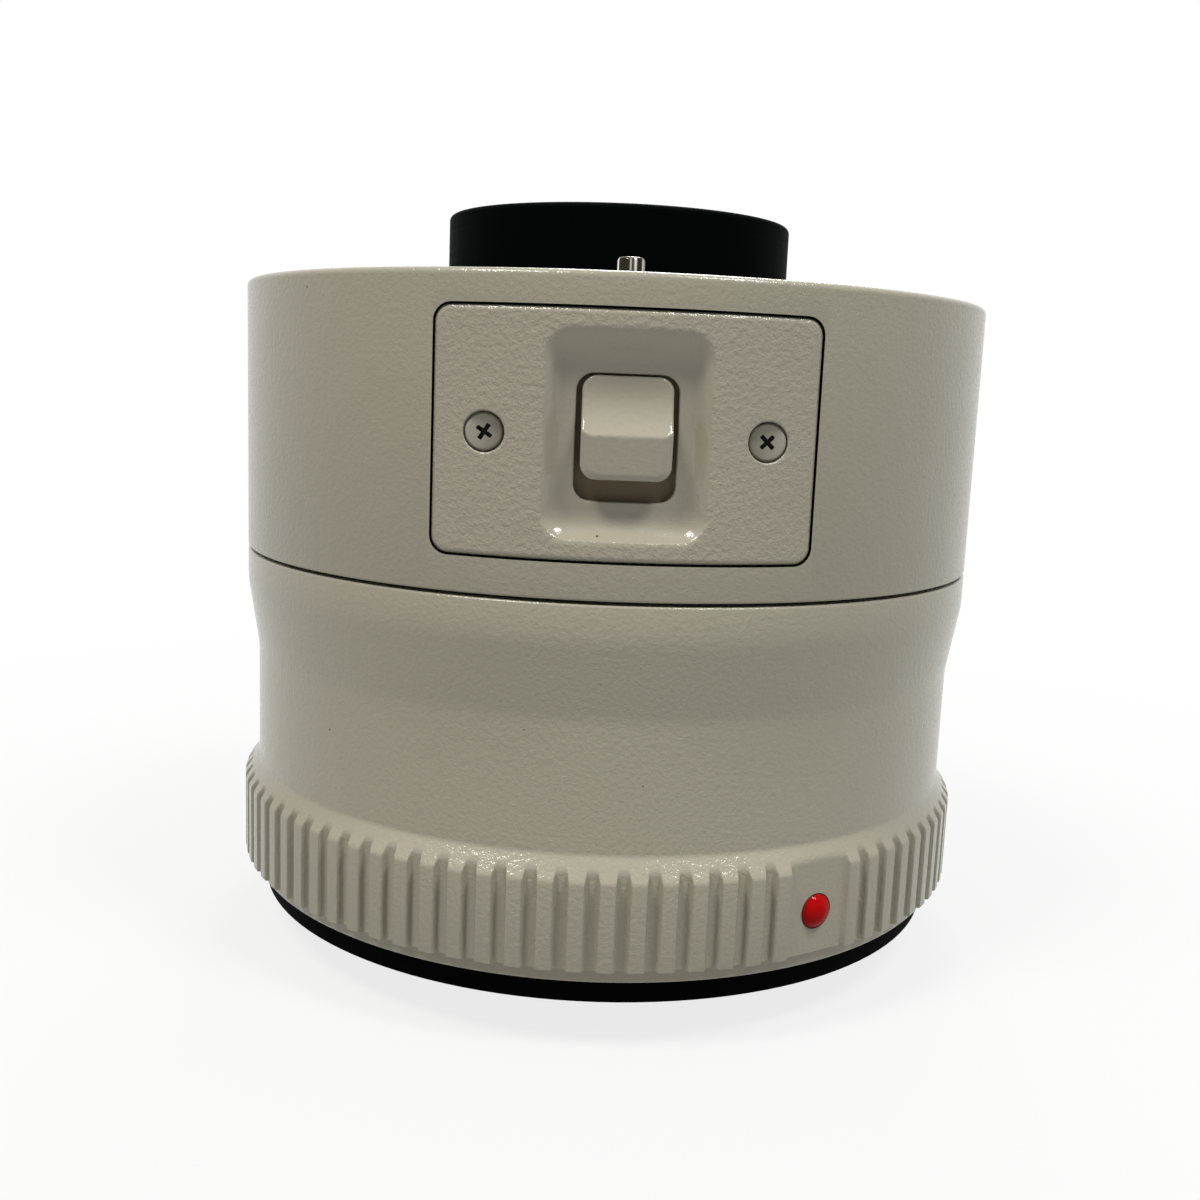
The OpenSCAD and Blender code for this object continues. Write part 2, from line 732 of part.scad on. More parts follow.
module front_barrel() color(paint) difference() {
    union() {
        turned(concat(
            [[front_in, seam_top], [front_r - edge, seam_top], [front_r, seam_top + edge]],
            arc(front_r - rim_round, rim_z - rim_round, rim_round, 0, 90),
            [[ring_pocket_r, rim_z], [ring_pocket_r, ring_seat_z], [lip_in, ring_seat_z],
             [lip_in, front_lip_z], [front_in, front_lip_z]]));
        for (s = [-1, 1]) intersection() {
            outward(boss_end_y - cut, front_in) translate([s * plate_screw_x, plate_z]) circle(d = boss_d);
            ring(boss_in, front_in + cut, seam_top, rim_z);
        }
    }
    difference() {
        outward(front_in / 2, front_r + cut) translate([0, plate_z + window_up])
            round_rect(plate_w + 2 * plate_gap, plate_h + 2 * plate_gap + 2 * window_up,
                plate_corner + plate_gap);
        cylinder(r = plate_in, h = flange_len);
    }
    outward(front_in / 2, front_r) translate([0, plate_z])
        round_rect(backing_w + 2 * backing_gap, backing_h + 2 * backing_gap, plate_corner);
    for (s = [-1, 1])
        outward(front_in / 2, front_r) translate([s * plate_screw_x, plate_z])
            circle(d = plate_screw_d + 2 * fit_gap);
    at_az(front_dot_az) bar(front_dot_r, front_dot_d + 2 * fit_gap, rim_z - dot_seat, rim_z + cut);
}

// Ribbed grip, sloping shoulder, waist and cone, with a tongue inside the seam
module rear_barrel() {
    grip_foot = [grip_r, grip_bottom_z + edge];
    grip_top = [grip_r, grip_top_z];
    waist_foot = [waist_r, shoulder_z];
    waist_top = [waist_r, cone_bottom_z];
    color(paint) difference() {
        turned(concat(
            [[ring_pocket_r, skirt_z], [skirt_r - 2 * edge, skirt_z], [skirt_r, skirt_z + 2 * edge],
             [skirt_r, grip_bottom_z], [grip_r - edge, grip_bottom_z], grip_foot],
            rounded(grip_foot, grip_top, waist_foot, shoulder_blend),
            rounded(grip_top, waist_foot, waist_top, shoulder_blend),
            [waist_top, [front_r, cone_top_z], [front_r, seam_low - edge],
             [front_r - edge, seam_low], [tongue_r, seam_low], [tongue_r, seam_low + tongue_len],
             [rear_in, seam_low + tongue_len], [rear_in, hollow_top],
             [hollow_r, hollow_top - hollow_r + rear_in], [hollow_r, hollow_low + hollow_r - rear_in],
             [rear_in, hollow_low], [rear_in, rear_lip_z], [lip_in, rear_lip_z],
             [lip_in, rear_ring_t], [ring_pocket_r, rear_ring_t]]));
        for (i = [(panel_grooves + 1) / 2 : rib_count - (panel_grooves + 1) / 2])
            at_az(dot_az + i * rib_pitch) groove();
        at_az(dot_az) {
            translate([-panel_w / 2, -grip_r - cut, grip_bottom_z - cut / 10])
                cube([panel_w, groove_depth + cut, shoulder_z]);
            outward(panel_y - dot_seat, grip_r) translate([0, dot_z]) circle(d = dot_d + 2 * fit_gap);
        }
    }
}

// Cutter for one groove between two ribs, with leaning walls
module groove() {
    lean = (groove_w - groove_floor_w) / 2 / groove_depth;
    top_y = grip_r + cut;
    top_w = groove_floor_w + 2 * lean * (groove_depth + cut);
    translate([0, 0, grip_bottom_z - cut / 10]) linear_extrude(shoulder_z)
        polygon([[-groove_floor_w / 2, -panel_y], [groove_floor_w / 2, -panel_y],
            [top_w / 2, -top_y], [-top_w / 2, -top_y]]);
}

// Curved plate with a dished finger well, carried by the front barrel's pocket
module lock_plate() color(paint) difference() {
    union() {
        intersection() {
            ring(plate_in + fit_gap, front_r, plate_z - plate_h, plate_z + plate_h);
            outward(front_in / 2, front_r + cut) translate([0, plate_z])
                round_rect(plate_w, plate_h, plate_corner);
        }
        intersection() {
            cylinder(r = plate_in + plate_t / 2, h = flange_len);
            outward(dish_back_y, front_r) translate([0, plate_z])
                round_rect(backing_w, backing_h, plate_corner);
        }
    }
    translate([0, -dish_y, plate_z]) rotate([90, 0, 0])
        flare(dish_floor_w, dish_floor_h, dish_corner, dish_draft, dish_depth + cut);
    outward(dish_back_y - cut, front_r) translate([0, slot_z])
        round_rect(slot_w, slot_h, knob_corner + slot_gap);
    for (s = [-1, 1]) translate([s * plate_screw_x, 0]) {
        outward(front_in / 2, front_r) translate([0, plate_z]) circle(d = plate_screw_d + 2 * fit_gap);
        outward(plate_seat_y, front_r + cut) translate([0, plate_z]) circle(d = counterbore_d);
    }
}

module plate_screws() color(paint) for (s = [-1, 1])
    translate([s * plate_screw_x, -plate_seat_y, plate_z]) rotate([90, 0, 0])
        pan_screw(plate_head_d, plate_head_h, plate_screw_d, plate_seat_y - boss_end_y);

// Lens lock

// Knob with a hollow finger ramp above its ridge and a plain face below
module lock_slider() {
    ramp = [for (i = [0 : 10]) let (u = i / 10, v = 1 - u)
        [-knob_top_y - (ridge_y - knob_top_y) * v * v,
         knob_low + knob_ridge + (knob_h - knob_ridge) * u]];
    color(paint) difference() {
        intersection() {
            rotate([90, 0, 90]) translate([0, 0, -knob_w / 2]) linear_extrude(knob_w)
                polygon(concat([[-carrier_out, knob_low], [-knob_low_y, knob_low]], ramp,
                    [[-carrier_out, knob_top]]));
            outward(carrier_out - cut, front_r) translate([0, knob_mid])
                round_rect(knob_w, knob_h, knob_corner);
        }
        slider_screw_holes(carrier_out - cut, carrier_out + slider_bite + slider_hole_end);
    }
}

module slider_screw_holes(y0, y1) for (s = [-1, 1])
    outward(y0, y1) translate([s * slider_screw_x, slider_screw_z])
        circle(d = slider_screw_d + 2 * fit_gap);

// Plate behind the slot, with the arm that pulls the lock pin down
module slide_carrier() color("dimgray") difference() {
    union() {
        outward(carrier_in, carrier_out) translate([0, (carrier_low + carrier_top) / 2])
            round_rect(carrier_w, carrier_top - carrier_low, knob_corner);
        translate([-arm_w / 2, -carrier_in - cut, arm_low])
            cube([arm_w, carrier_in + cut - arm_end, arm_h]);
    }
    bar(pin_r, pin_d + 2 * fit_gap, arm_low - cut, arm_top + cut);
    slider_screw_holes(carrier_in - cut, carrier_out + cut);
}

module slider_screws() color(steel) for (s = [-1, 1])
    translate([s * slider_screw_x, -carrier_in, slider_screw_z]) rotate([-90, 0, 0])
        pan_screw(slider_head_d, slider_head_h, slider_screw_d, carrier_t + slider_bite);

// Stepped pin: its collar rests on the carrier's arm
module lock_pin() {
    r = pin_d / 2;
    collar_r = pin_collar_d / 2;
    collar_z = arm_top + pin_collar_h;
    color(steel) translate([0, -pin_r, 0]) turned([
        [0, pin_tail_z], [r - edge, pin_tail_z], [r, pin_tail_z + edge], [r, arm_top], [collar_r, arm_top],
        [collar_r, collar_z], [r, collar_z], [r, pin_tip_z - pin_chamfer], [r - pin_chamfer, pin_tip_z],
        [0, pin_tip_z]]);
}

module lock_spring() color("silver") translate([0, -pin_r, 0])
    coil(spring_d, spring_wire, spring_seat_z + fit_gap, arm_low - fit_gap, spring_turns);

// Lens mount

module front_mount_ring() color(steel) difference() {
    union() {
        ring(throat_r, ring_r, ring_seat_z, flange_len);
        for (a = lug_azs) at_az(a)
            sector(lug_in_r, throat_r + cut, ring_seat_z, flange_len - lug_sink, lug_half);
    }
    for (a = front_screw_azs) at_az(a) translate([0, -front_screw_r, flange_len])
        sunk_hole(mount_head_d, mount_head_h, mount_screw_d, front_ring_t);
    bar(pin_r, pin_d + 2 * pin_hole_gap, ring_seat_z - cut, flange_len + cut);
}

module front_mount_screws() color(steel) for (a = front_screw_azs)
    at_az(a) translate([0, -front_screw_r, flange_len - head_sink])
        sunk_screw(mount_head_d, mount_head_h, mount_screw_d, mount_screw_len);

// Three bowed leaves under the lugs, which draw a lens's bayonet in
module bayonet_springs() {
    half_chord = throat_r * sin(leaf_half);
    bow_r = (half_chord * half_chord + leaf_bow * leaf_bow) / (2 * leaf_bow);
    color("silver") for (a = lug_azs) at_az(a) intersection() {
        sector(lug_in_r + 2 * leaf_gap, throat_r - leaf_gap,
            ring_seat_z - leaf_bow - 2 * leaf_t, ring_seat_z, leaf_half);
        translate([0, 0, ring_seat_z - leaf_t - leaf_bow + bow_r]) rotate([90, 0, 0]) difference() {
            cylinder(r = bow_r, h = flange_len, $fn = leaf_fn);
            translate([0, 0, -cut]) cylinder(r = bow_r - leaf_t, h = flange_len + 2 * cut, $fn = leaf_fn);
        }
    }
}

module front_index_dot() color(red) at_az(front_dot_az) translate([0, -front_dot_r, rim_z - dot_seat])
    dot(front_dot_d, dot_seat);

module rear_index_dot() color(red) at_az(dot_az) translate([0, dot_seat - panel_y, dot_z])
    rotate([90, 0, 0]) dot(dot_d, dot_seat);

// Short peg with a domed face
module dot(d, seat) {
    ball_r = (d * d / 4 + dot_dome * dot_dome) / (2 * dot_dome);
    cylinder(d = d, h = seat);
    intersection() {
        translate([0, 0, seat + dot_dome - ball_r]) sphere(ball_r);
        translate([0, 0, seat - dot_dome]) cylinder(d = d, h = 3 * dot_dome);
    }
}

// Inner frame: a spool with a shoulder for each barrel, the lens socket, the web and the lock's pocket
module frame() color("gray") difference() {
    union() {
        turned([
            [spigot_r, rear_ring_t], [spigot_r, rear_lip_z], [rear_collar_r, rear_lip_z],
            [rear_collar_r, rear_collar_z], [frame_r, rear_collar_z],
            [frame_r, front_lip_z - front_collar_h], [front_collar_r, front_lip_z - front_collar_h],
            [front_collar_r, front_lip_z], [spigot_r, front_lip_z], [spigot_r, ring_seat_z],
            [socket_r, ring_seat_z], [socket_r, shelf_z], [shelf_in, shelf_z], [shelf_in, shelf_low],
            [wall_in, shelf_low], [wall_in, web_top], [cell_r + 2 * fit_gap, web_top],
            [cell_r + 2 * fit_gap, web_z], [wall_in, web_z], [wall_in, rear_ring_t + floor_t],
            [floor_in, rear_ring_t + floor_t], [floor_in, rear_ring_t]]);
        translate([-arm_w, guide_sink - frame_r, pin_guide_z])
            cube([2 * arm_w, frame_r - guide_sink - arm_end, pin_guide_h]);
    }
    translate([-pocket_w / 2, -front_in - cut, spring_seat_z])
        cube([pocket_w, front_in + cut - arm_end + pocket_back, shelf_low - spring_seat_z - fit_gap]);
    translate([-pocket_w / 2, -front_in - cut, shelf_low - cut])
        cube([pocket_w, front_in + cut - pin_r + pin_collar_d / 2 - pin_hole_gap,
            pocket_top - shelf_low + cut]);
    bar(pin_r, pin_d + 2 * pin_play, pin_tail_z - lock_travel - cut, ring_seat_z + cut);
    for (a = front_screw_azs) at_az(a)
        bar(front_screw_r, mount_screw_d + 2 * fit_gap,
            flange_len - head_sink - mount_screw_len - hole_end, ring_seat_z + cut);
    for (a = rear_screw_azs) at_az(a)
        bar(rear_screw_r, mount_screw_d + 2 * fit_gap,
            rear_ring_t - cut, head_sink + mount_screw_len + hole_end);
    for (a = cell_screw_azs) at_az(a)
        bar(cell_screw_r, cell_screw_d + 2 * fit_gap, web_z - cut, web_top + cut);
    block_screw_holes(shelf_low, shelf_z);
    flex_slot(web_z, web_top);
}

module block_screw_holes(z0, z1) for (a = block_screw_azs) at_az(a)
    bar(block_screw_r, slider_screw_d + 2 * fit_gap, z0 - cut, z1 + cut);

module flex_slot(z0, z1) translate([-flex_x - flex_slot_w / 2, -flex_slot_len / 2, z0 - cut])
    cube([flex_slot_w, flex_slot_len, z1 - z0 + 2 * cut]);

// Black floor of the lens socket, round the nose
module front_baffle() color(black) difference() {
    ring(nose_r + baffle_gap, socket_r - 2 * fit_gap, shelf_z, baffle_z);
    at_az(contact_az) sector(block_in - block_gap, block_out + block_gap, shelf_z - cut, baffle_z + cut,
        contact_half + block_gap_az);
    block_screw_holes(shelf_z, baffle_z);
}

// Electrical contacts

module at_contacts() for (i = [0 : contact_count - 1])
    at_az(contact_az + (i - (contact_count - 1) / 2) * contact_pitch) children();

module front_contact_block() color(black) difference() {
    at_az(contact_az) {
        sector(block_in, block_out, block_low, block_top, contact_half);
        sector(block_out - cut, block_ear_out, baffle_z, block_top, contact_half);
    }
    at_contacts() {
        bar(contact_r, contact_d + 2 * contact_play, block_low, block_top + cut);
        bar(contact_r, contact_bore_d, block_low - cut, contact_collar_top + contact_play);
    }
    block_screw_holes(baffle_z, block_top);
}

module contact_block_screws() color(steel) for (a = block_screw_azs)
    at_az(a) translate([0, -block_screw_r, block_top])
        pan_screw(slider_head_d, slider_head_h, slider_screw_d, block_top - shelf_low - block_screw_end);

// Round-nosed pins with a collar that keeps them in the block
module contact_pins() {
    r = contact_d / 2;
    collar_r = contact_collar_d / 2;
    tail_r = contact_tail_d / 2;
    tail_z = contact_collar_z - contact_tail;
    color(gold) at_contacts() translate([0, -contact_r, 0]) turned(concat(
        [[0, tail_z], [tail_r, tail_z], [tail_r, contact_collar_z], [collar_r, contact_collar_z],
         [collar_r, contact_collar_top], [r, contact_collar_top]],
        arc(0, block_top + contact_out - r, r, 0, 90)));
}

module contact_springs() color("silver") at_contacts() translate([0, -contact_r, 0])
    coil(contact_coil_d, contact_wire, block_low + fit_gap, contact_collar_z - fit_gap, contact_turns);

module contact_board() color("darkgreen") at_az(contact_az)
    sector(block_in, block_out, block_low - board_t, block_low, contact_half);

// Ribbon from the contact board down the frame to the rear contacts
module flex_cable() {
    top = block_low - board_t;
    color("saddlebrown") translate([0, -flex_w / 2, 0]) {
        translate([-flex_x - flex_t / 2, 0, cell_rear_z]) cube([flex_t, flex_w, top - cell_rear_z]);
        for (z = [cell_rear_z, top - flex_t])
            translate([-flex_x, 0, z]) cube([flex_leg, flex_w, flex_t]);
    }
}

module circuit_board() color("darkgreen") difference() {
    at_az(contact_az) sector(pcb_in, pcb_out, web_top, web_top + pcb_t, pcb_half);
    flex_slot(web_top, web_top + pcb_t);
}

module board_chips() color(black) for (a = chip_azs) at_az(contact_az + a)
    sector(pcb_in + pcb_gap, pcb_out - pcb_gap, web_top + pcb_t, web_top + pcb_t + chip_h, chip_half);

// Camera mount

module rear_mount_ring() color(steel) difference() {
    union() {
        ring(bayonet_in, ring_r, 0, rear_ring_t);
        turned([[bayonet_in, cut], [bayonet_in, edge - bayonet_len], [bayonet_in + edge, -bayonet_len],
            [bayonet_r - edge, -bayonet_len], [bayonet_r, edge - bayonet_len], [bayonet_r, cut]]);
        for (a = lug_azs) at_az(a)
            sector(bayonet_r - cut, lug_r, -lug_drop - lug_t, -lug_drop, rear_lug_half);
    }
    ring(bayonet_r, relief_r, -cut / 10, relief_t);
    for (a = rear_screw_azs) at_az(a) translate([0, -rear_screw_r, 0]) rotate([180, 0, 0])
        sunk_hole(mount_head_d, mount_head_h, mount_screw_d, rear_ring_t);
    for (s = [-1, 1]) translate([s * lock_hole_len / 2, 0]) bar(pin_r, lock_hole_d, -cut, lock_hole_z);
    translate([-lock_hole_len / 2, -pin_r - lock_hole_d / 2, -cut])
        cube([lock_hole_len, lock_hole_d, lock_hole_z + cut]);
}

module rear_mount_screws() color(steel) for (a = rear_screw_azs)
    at_az(a) translate([0, -rear_screw_r, head_sink]) rotate([180, 0, 0])
        sunk_screw(mount_head_d, mount_head_h, mount_screw_d, mount_screw_len);

// Rubber ring that leans in towards the camera
module rear_seal() color(black) turned([
    [seal_in, skirt_z], [seal_top_r, skirt_z], [seal_low_r, -seal_out],
    [seal_low_r - seal_lip, -seal_out], [seal_in, -seal_root]]);

// Black well behind the rear lens
module rear_baffle() {
    end_z = rear_block_low + rear_end_gap;
    color(black) difference() {
        turned([[rear_open_r, rear_disc_z], [rear_baffle_in, rear_disc_z], [rear_baffle_in, end_z],
            [rear_baffle_r, end_z], [rear_baffle_r, cell_rear_z],
            [rear_open_r - rear_open_flare, cell_rear_z]]);
        for (a = cell_screw_azs) at_az(a)
            bar(baffle_screw_r, baffle_screw_d + 2 * fit_gap, rear_disc_z - cut, cell_rear_z + cut);
    }
}

module baffle_screws() color(black) for (a = cell_screw_azs) at_az(a)
    translate([0, -baffle_screw_r, rear_disc_z]) rotate([180, 0, 0])
        pan_screw(baffle_head_d, baffle_head_h, baffle_screw_d, baffle_screw_len);

module rear_pads(gap, gap_az, z0, z1) at_contacts()
    sector(contact_r - rear_pad_inner - gap, contact_r + rear_pad_outer + gap, z0, z1,
        rear_pad_half + gap_az);

module rear_contact_block() color(black) difference() {
    at_az(contact_az)
        sector(rear_block_in, rear_block_out, rear_block_low, rear_disc_z, rear_block_half);
    rear_pads(fit_gap, rear_pad_gap_az, rear_block_low - cut, rear_block_low + rear_pad_t);
}

module rear_contacts() color(gold)
    rear_pads(0, 0, rear_block_low - rear_pad_proud, rear_block_low + rear_pad_t);

// Optics

// Nose: the cell of the front lenses, pushed into the rear cell
module front_cell() {
    bore_r = front_lens_r + fit_gap;
    color(black) turned(concat(
        [[land_r, spigot_z], [middle_lens_r, spigot_z], [middle_lens_r, joint_z], [nose_r, joint_z]],
        arc(nose_r - nose_round, nose_z - nose_round, nose_round, 0, 90),
        [[bore_r + nose_chamfer, nose_z], [bore_r, nose_z - nose_chamfer], [bore_r, front_land_z],
         [land_r, front_land_z]]));
}

module rear_cell() {
    bore_r = middle_lens_r + fit_gap;
    rear_bore_r = rear_lens_r + fit_gap;
    flange_top = web_top + cell_flange_t;
    color(black) difference() {
        turned([
            [rear_bore_r, cell_rear_z], [cell_r, cell_rear_z], [cell_r, web_top], [cell_flange_r, web_top],
            [cell_flange_r, flange_top], [cell_neck_r, flange_top], [cell_neck_r, joint_z],
            [bore_r, joint_z], [bore_r, spigot_z], [land_r, spigot_z], [land_r, lens_4_z],
            [bore_r, lens_4_z], [bore_r, step_z], [rear_bore_r, step_z]]);
        for (a = cell_screw_azs) at_az(a) {
            bar(cell_screw_r, cell_screw_d + 2 * fit_gap, web_top - cut, flange_top + cut);
            bar(baffle_screw_r, baffle_screw_d + 2 * fit_gap,
                cell_rear_z - cut, cell_rear_z + baffle_screw_len);
        }
    }
}

module cell_screws() color(steel) for (a = cell_screw_azs)
    at_az(a) translate([0, -cell_screw_r, web_top + cell_flange_t])
        pan_screw(cell_head_d, cell_head_h, cell_screw_d, cell_flange_t + web_t - cell_screw_end);

module front_retaining_ring() color(black) difference() {
    ring(front_lens_r - ring_wall, front_lens_r, lens_1_z, lens_1_z + front_retainer_h);
    spanner_slots(front_lens_r, lens_1_z + front_retainer_h);
}

module rear_retaining_ring() color(black) difference() {
    ring(rear_lens_r - ring_wall, rear_lens_r, rear_retainer_z, lens_7_low);
    spanner_slots(rear_lens_r, rear_retainer_z);
}

// Two slots across a ring's face, for a lens spanner
module spanner_slots(r, z) for (s = [-1, 1])
    translate([s * r - ring_wall - cut, -spanner_w / 2, z - spanner_depth])
        cube([2 * (ring_wall + cut), spanner_w, 2 * spanner_depth]);

module front_spacer() color(black)
    ring(front_lens_r - ring_wall, front_lens_r, lens_2_z, front_spacer_z);

module middle_spacer() color(black)
    ring(middle_lens_r - ring_wall, middle_lens_r, lens_5_z, middle_spacer_z);

// Long spacer that widens towards the rear lens
module rear_spacer() {
    narrow = middle_lens_r - spacer_wall;
    wide = rear_lens_r - spacer_wall;
    color(black) turned([[wide, lens_7_z], [rear_lens_r, lens_7_z], [rear_lens_r, step_z],
        [narrow, step_z], [wide, lens_7_z + lens_7_t]]);
}

module lens_1_front() color(glass)
    lens(front_lens_r, lens_1_z, front_spacer_z, lens_1_front_bulge, lens_1_rear_bulge);

module lens_2() color(glass)
    lens(front_lens_r, lens_2_z, lens_3_z, lens_2_front_bulge, -front_cement_bulge - cement);

module lens_3() color(glass)
    lens(front_lens_r, lens_3_z, front_land_z, front_cement_bulge, 0);

module lens_4() color(glass)
    lens(middle_lens_r, lens_4_z, middle_spacer_z, lens_4_front_bulge, lens_4_rear_bulge);

module lens_5() color(glass)
    lens(middle_lens_r, lens_5_z, lens_6_z, lens_5_front_bulge, middle_cement_bulge);

module lens_6() color(glass)
    lens(middle_lens_r, lens_6_z, step_z, -middle_cement_bulge - cement, lens_6_rear_bulge);

module lens_7_rear() color(glass)
    lens(rear_lens_r, lens_7_z, lens_7_low, lens_7_front_bulge, lens_7_rear_bulge);

front_barrel();
rear_barrel();
lock_plate();
plate_screws();
lock_slider();
slide_carrier();
slider_screws();
lock_pin();
lock_spring();
front_mount_ring();
front_mount_screws();
bayonet_springs();
front_index_dot();
rear_index_dot();
frame();
front_baffle();
front_contact_block();
contact_block_screws();
contact_pins();
contact_springs();
contact_board();
flex_cable();
circuit_board();
board_chips();
rear_mount_ring();
rear_mount_screws();
rear_seal();
rear_baffle();
baffle_screws();
rear_contact_block();
rear_contacts();
front_cell();
rear_cell();
cell_screws();
front_retaining_ring();
rear_retaining_ring();
front_spacer();
middle_spacer();
rear_spacer();
lens_1_front();
lens_2();
lens_3();
lens_4();
lens_5();
lens_6();
lens_7_rear();
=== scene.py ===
# %% [markdown]
# # A camera teleconverter
#
# A teleconverter is a short tube of lenses that sits between a camera and its lens. This one has a shell of
# two grey-painted barrels, a ribbed grip, a lens lock with a sliding knob, and a black nose that reaches
# into the lens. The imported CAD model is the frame: it says where every piece is. Blender adds soft edges,
# paint, metal, rubber and glass. The camera side's flange lies at z = 0, the lens looks up along +Z, and
# the lens lock faces -Y. Sizes are written in millimetres, and become metres when a mesh is placed.

# %% Load the frame
import math

import bpy
import numpy as np
from mathutils import Matrix, Quaternion, Vector


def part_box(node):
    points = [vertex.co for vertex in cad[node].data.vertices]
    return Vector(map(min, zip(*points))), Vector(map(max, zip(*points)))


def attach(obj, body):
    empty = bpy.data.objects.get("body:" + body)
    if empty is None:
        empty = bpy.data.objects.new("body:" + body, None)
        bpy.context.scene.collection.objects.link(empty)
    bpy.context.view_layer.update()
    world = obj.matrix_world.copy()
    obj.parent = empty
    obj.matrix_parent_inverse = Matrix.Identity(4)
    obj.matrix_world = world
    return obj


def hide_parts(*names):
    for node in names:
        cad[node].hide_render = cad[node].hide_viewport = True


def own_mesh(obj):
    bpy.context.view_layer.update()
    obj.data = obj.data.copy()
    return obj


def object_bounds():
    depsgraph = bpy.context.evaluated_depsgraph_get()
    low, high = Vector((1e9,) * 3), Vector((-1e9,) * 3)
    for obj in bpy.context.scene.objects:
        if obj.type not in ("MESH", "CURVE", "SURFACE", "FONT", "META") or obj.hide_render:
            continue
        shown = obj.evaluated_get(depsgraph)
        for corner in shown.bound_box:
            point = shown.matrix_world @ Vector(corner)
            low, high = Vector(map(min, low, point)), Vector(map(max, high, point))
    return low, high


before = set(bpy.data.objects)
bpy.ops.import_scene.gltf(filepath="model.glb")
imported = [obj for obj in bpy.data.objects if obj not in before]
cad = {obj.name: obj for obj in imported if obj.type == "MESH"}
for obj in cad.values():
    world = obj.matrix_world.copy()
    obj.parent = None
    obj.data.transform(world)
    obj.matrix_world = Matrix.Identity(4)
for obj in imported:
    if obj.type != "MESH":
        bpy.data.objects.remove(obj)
cad_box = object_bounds()
MM = 0.001
print("CAD nodes:", len(cad), "box in mm:", [[round(c / MM, 2) for c in corner] for corner in cad_box])

# %% [markdown]
# ## Camera
#
# The rim, the seam, the grip and the nose of the real object were matched to the picture's edges, which
# gives the eye point, the direction, a slight roll and the focal length in pixels of a square picture.
# The camera comes first, because every later choice is judged through it.

# %% Place the camera
PICTURE_PIXELS = 1200
FOCAL_PIXELS = 1303.4
SENSOR_WIDTH = 36.0
CLIP_START = 0.01
EYE = Vector((-4.65, -133.17, 49.0)) * MM
HEADING, DOWN, ROLL = 0.0317, 0.1637, 0.0405
look = Vector((math.sin(HEADING) * math.cos(DOWN), math.cos(HEADING) * math.cos(DOWN), -math.sin(DOWN)))
turn = look.to_track_quat("-Z", "Y") @ Quaternion((0, 0, 1), ROLL)
bpy.ops.object.camera_add(location=EYE, rotation=turn.to_euler())
camera = bpy.context.object
camera.name = "camera"
camera.data.sensor_width = SENSOR_WIDTH
camera.data.lens = SENSOR_WIDTH * FOCAL_PIXELS / PICTURE_PIXELS
camera.data.clip_start = CLIP_START
bpy.context.scene.camera = camera
print("camera lens in mm:", round(camera.data.lens, 2))

# %% [markdown]
# ## Shader helpers
#
# Every finish here is a small node tree. One helper adds a node and fills in its sockets, and another joins
# two sockets, so a finish reads as a short list.

# %% Node helpers
def add_node(tree, kind, values=None, **settings):
    """Add a node, set its properties, and fill in sockets by name or number."""
    node = tree.nodes.new("ShaderNode" + kind)
    for name, value in settings.items():
        setattr(node, name, value)
    for name, value in (values or {}).items():
        node.inputs[name].default_value = value
    return node


def join(tree, source, output, target, socket):
    tree.links.new(source.outputs[output], target.inputs[socket])


def new_group(name, inputs, outputs):
    """Start a node group. Sockets are given as (name, kind, default)."""
    tree = bpy.data.node_groups.new(name, "ShaderNodeTree")
    for label, kind, default in inputs:
        socket = tree.interface.new_socket(label, in_out="INPUT", socket_type="NodeSocket" + kind)
        socket.default_value = default
    for label, kind in outputs:
        tree.interface.new_socket(label, in_out="OUTPUT", socket_type="NodeSocket" + kind)
    return tree, tree.nodes.new("NodeGroupInput"), tree.nodes.new("NodeGroupOutput")


# %% [markdown]
# ## Shared surface effects
#
# Four effects come back in several finishes, so each is a node group. *Orange peel* is the fine waviness of
# sprayed paint. *Specks* are single grains of dust: a Voronoi texture gives every grain a cell, and only
# some cells keep theirs. *Mottle* drifts between two colours, so no surface is one flat colour. *Turned
# lines* are the rings that a lathe leaves, a noise that only changes with the radius and the height.

# %% Orange peel
RIPPLE_RATIO = 2.7
peel, peel_in, peel_out = new_group(
    "orange_peel", [("Scale", "Float", 1500.0), ("Fine Share", "Float", 0.35)], [("Height", "Float")])
place = add_node(peel, "TexCoord")
waves = add_node(peel, "TexNoise", {"Detail": 1.0, "Roughness": 0.4})
finer = add_node(peel, "Math", {1: RIPPLE_RATIO}, operation="MULTIPLY")
ripples = add_node(peel, "TexNoise", {"Detail": 1.0, "Roughness": 0.5})
blend = add_node(peel, "Mix")
join(peel, place, "Object", waves, "Vector")
join(peel, place, "Object", ripples, "Vector")
join(peel, peel_in, "Scale", waves, "Scale")
join(peel, peel_in, "Scale", finer, 0)
join(peel, finer, 0, ripples, "Scale")
join(peel, peel_in, "Fine Share", blend, "Factor")
join(peel, waves, "Fac", blend, "A")
join(peel, ripples, "Fac", blend, "B")
join(peel, blend, "Result", peel_out, "Height")
print("orange peel nodes:", len(peel.nodes))

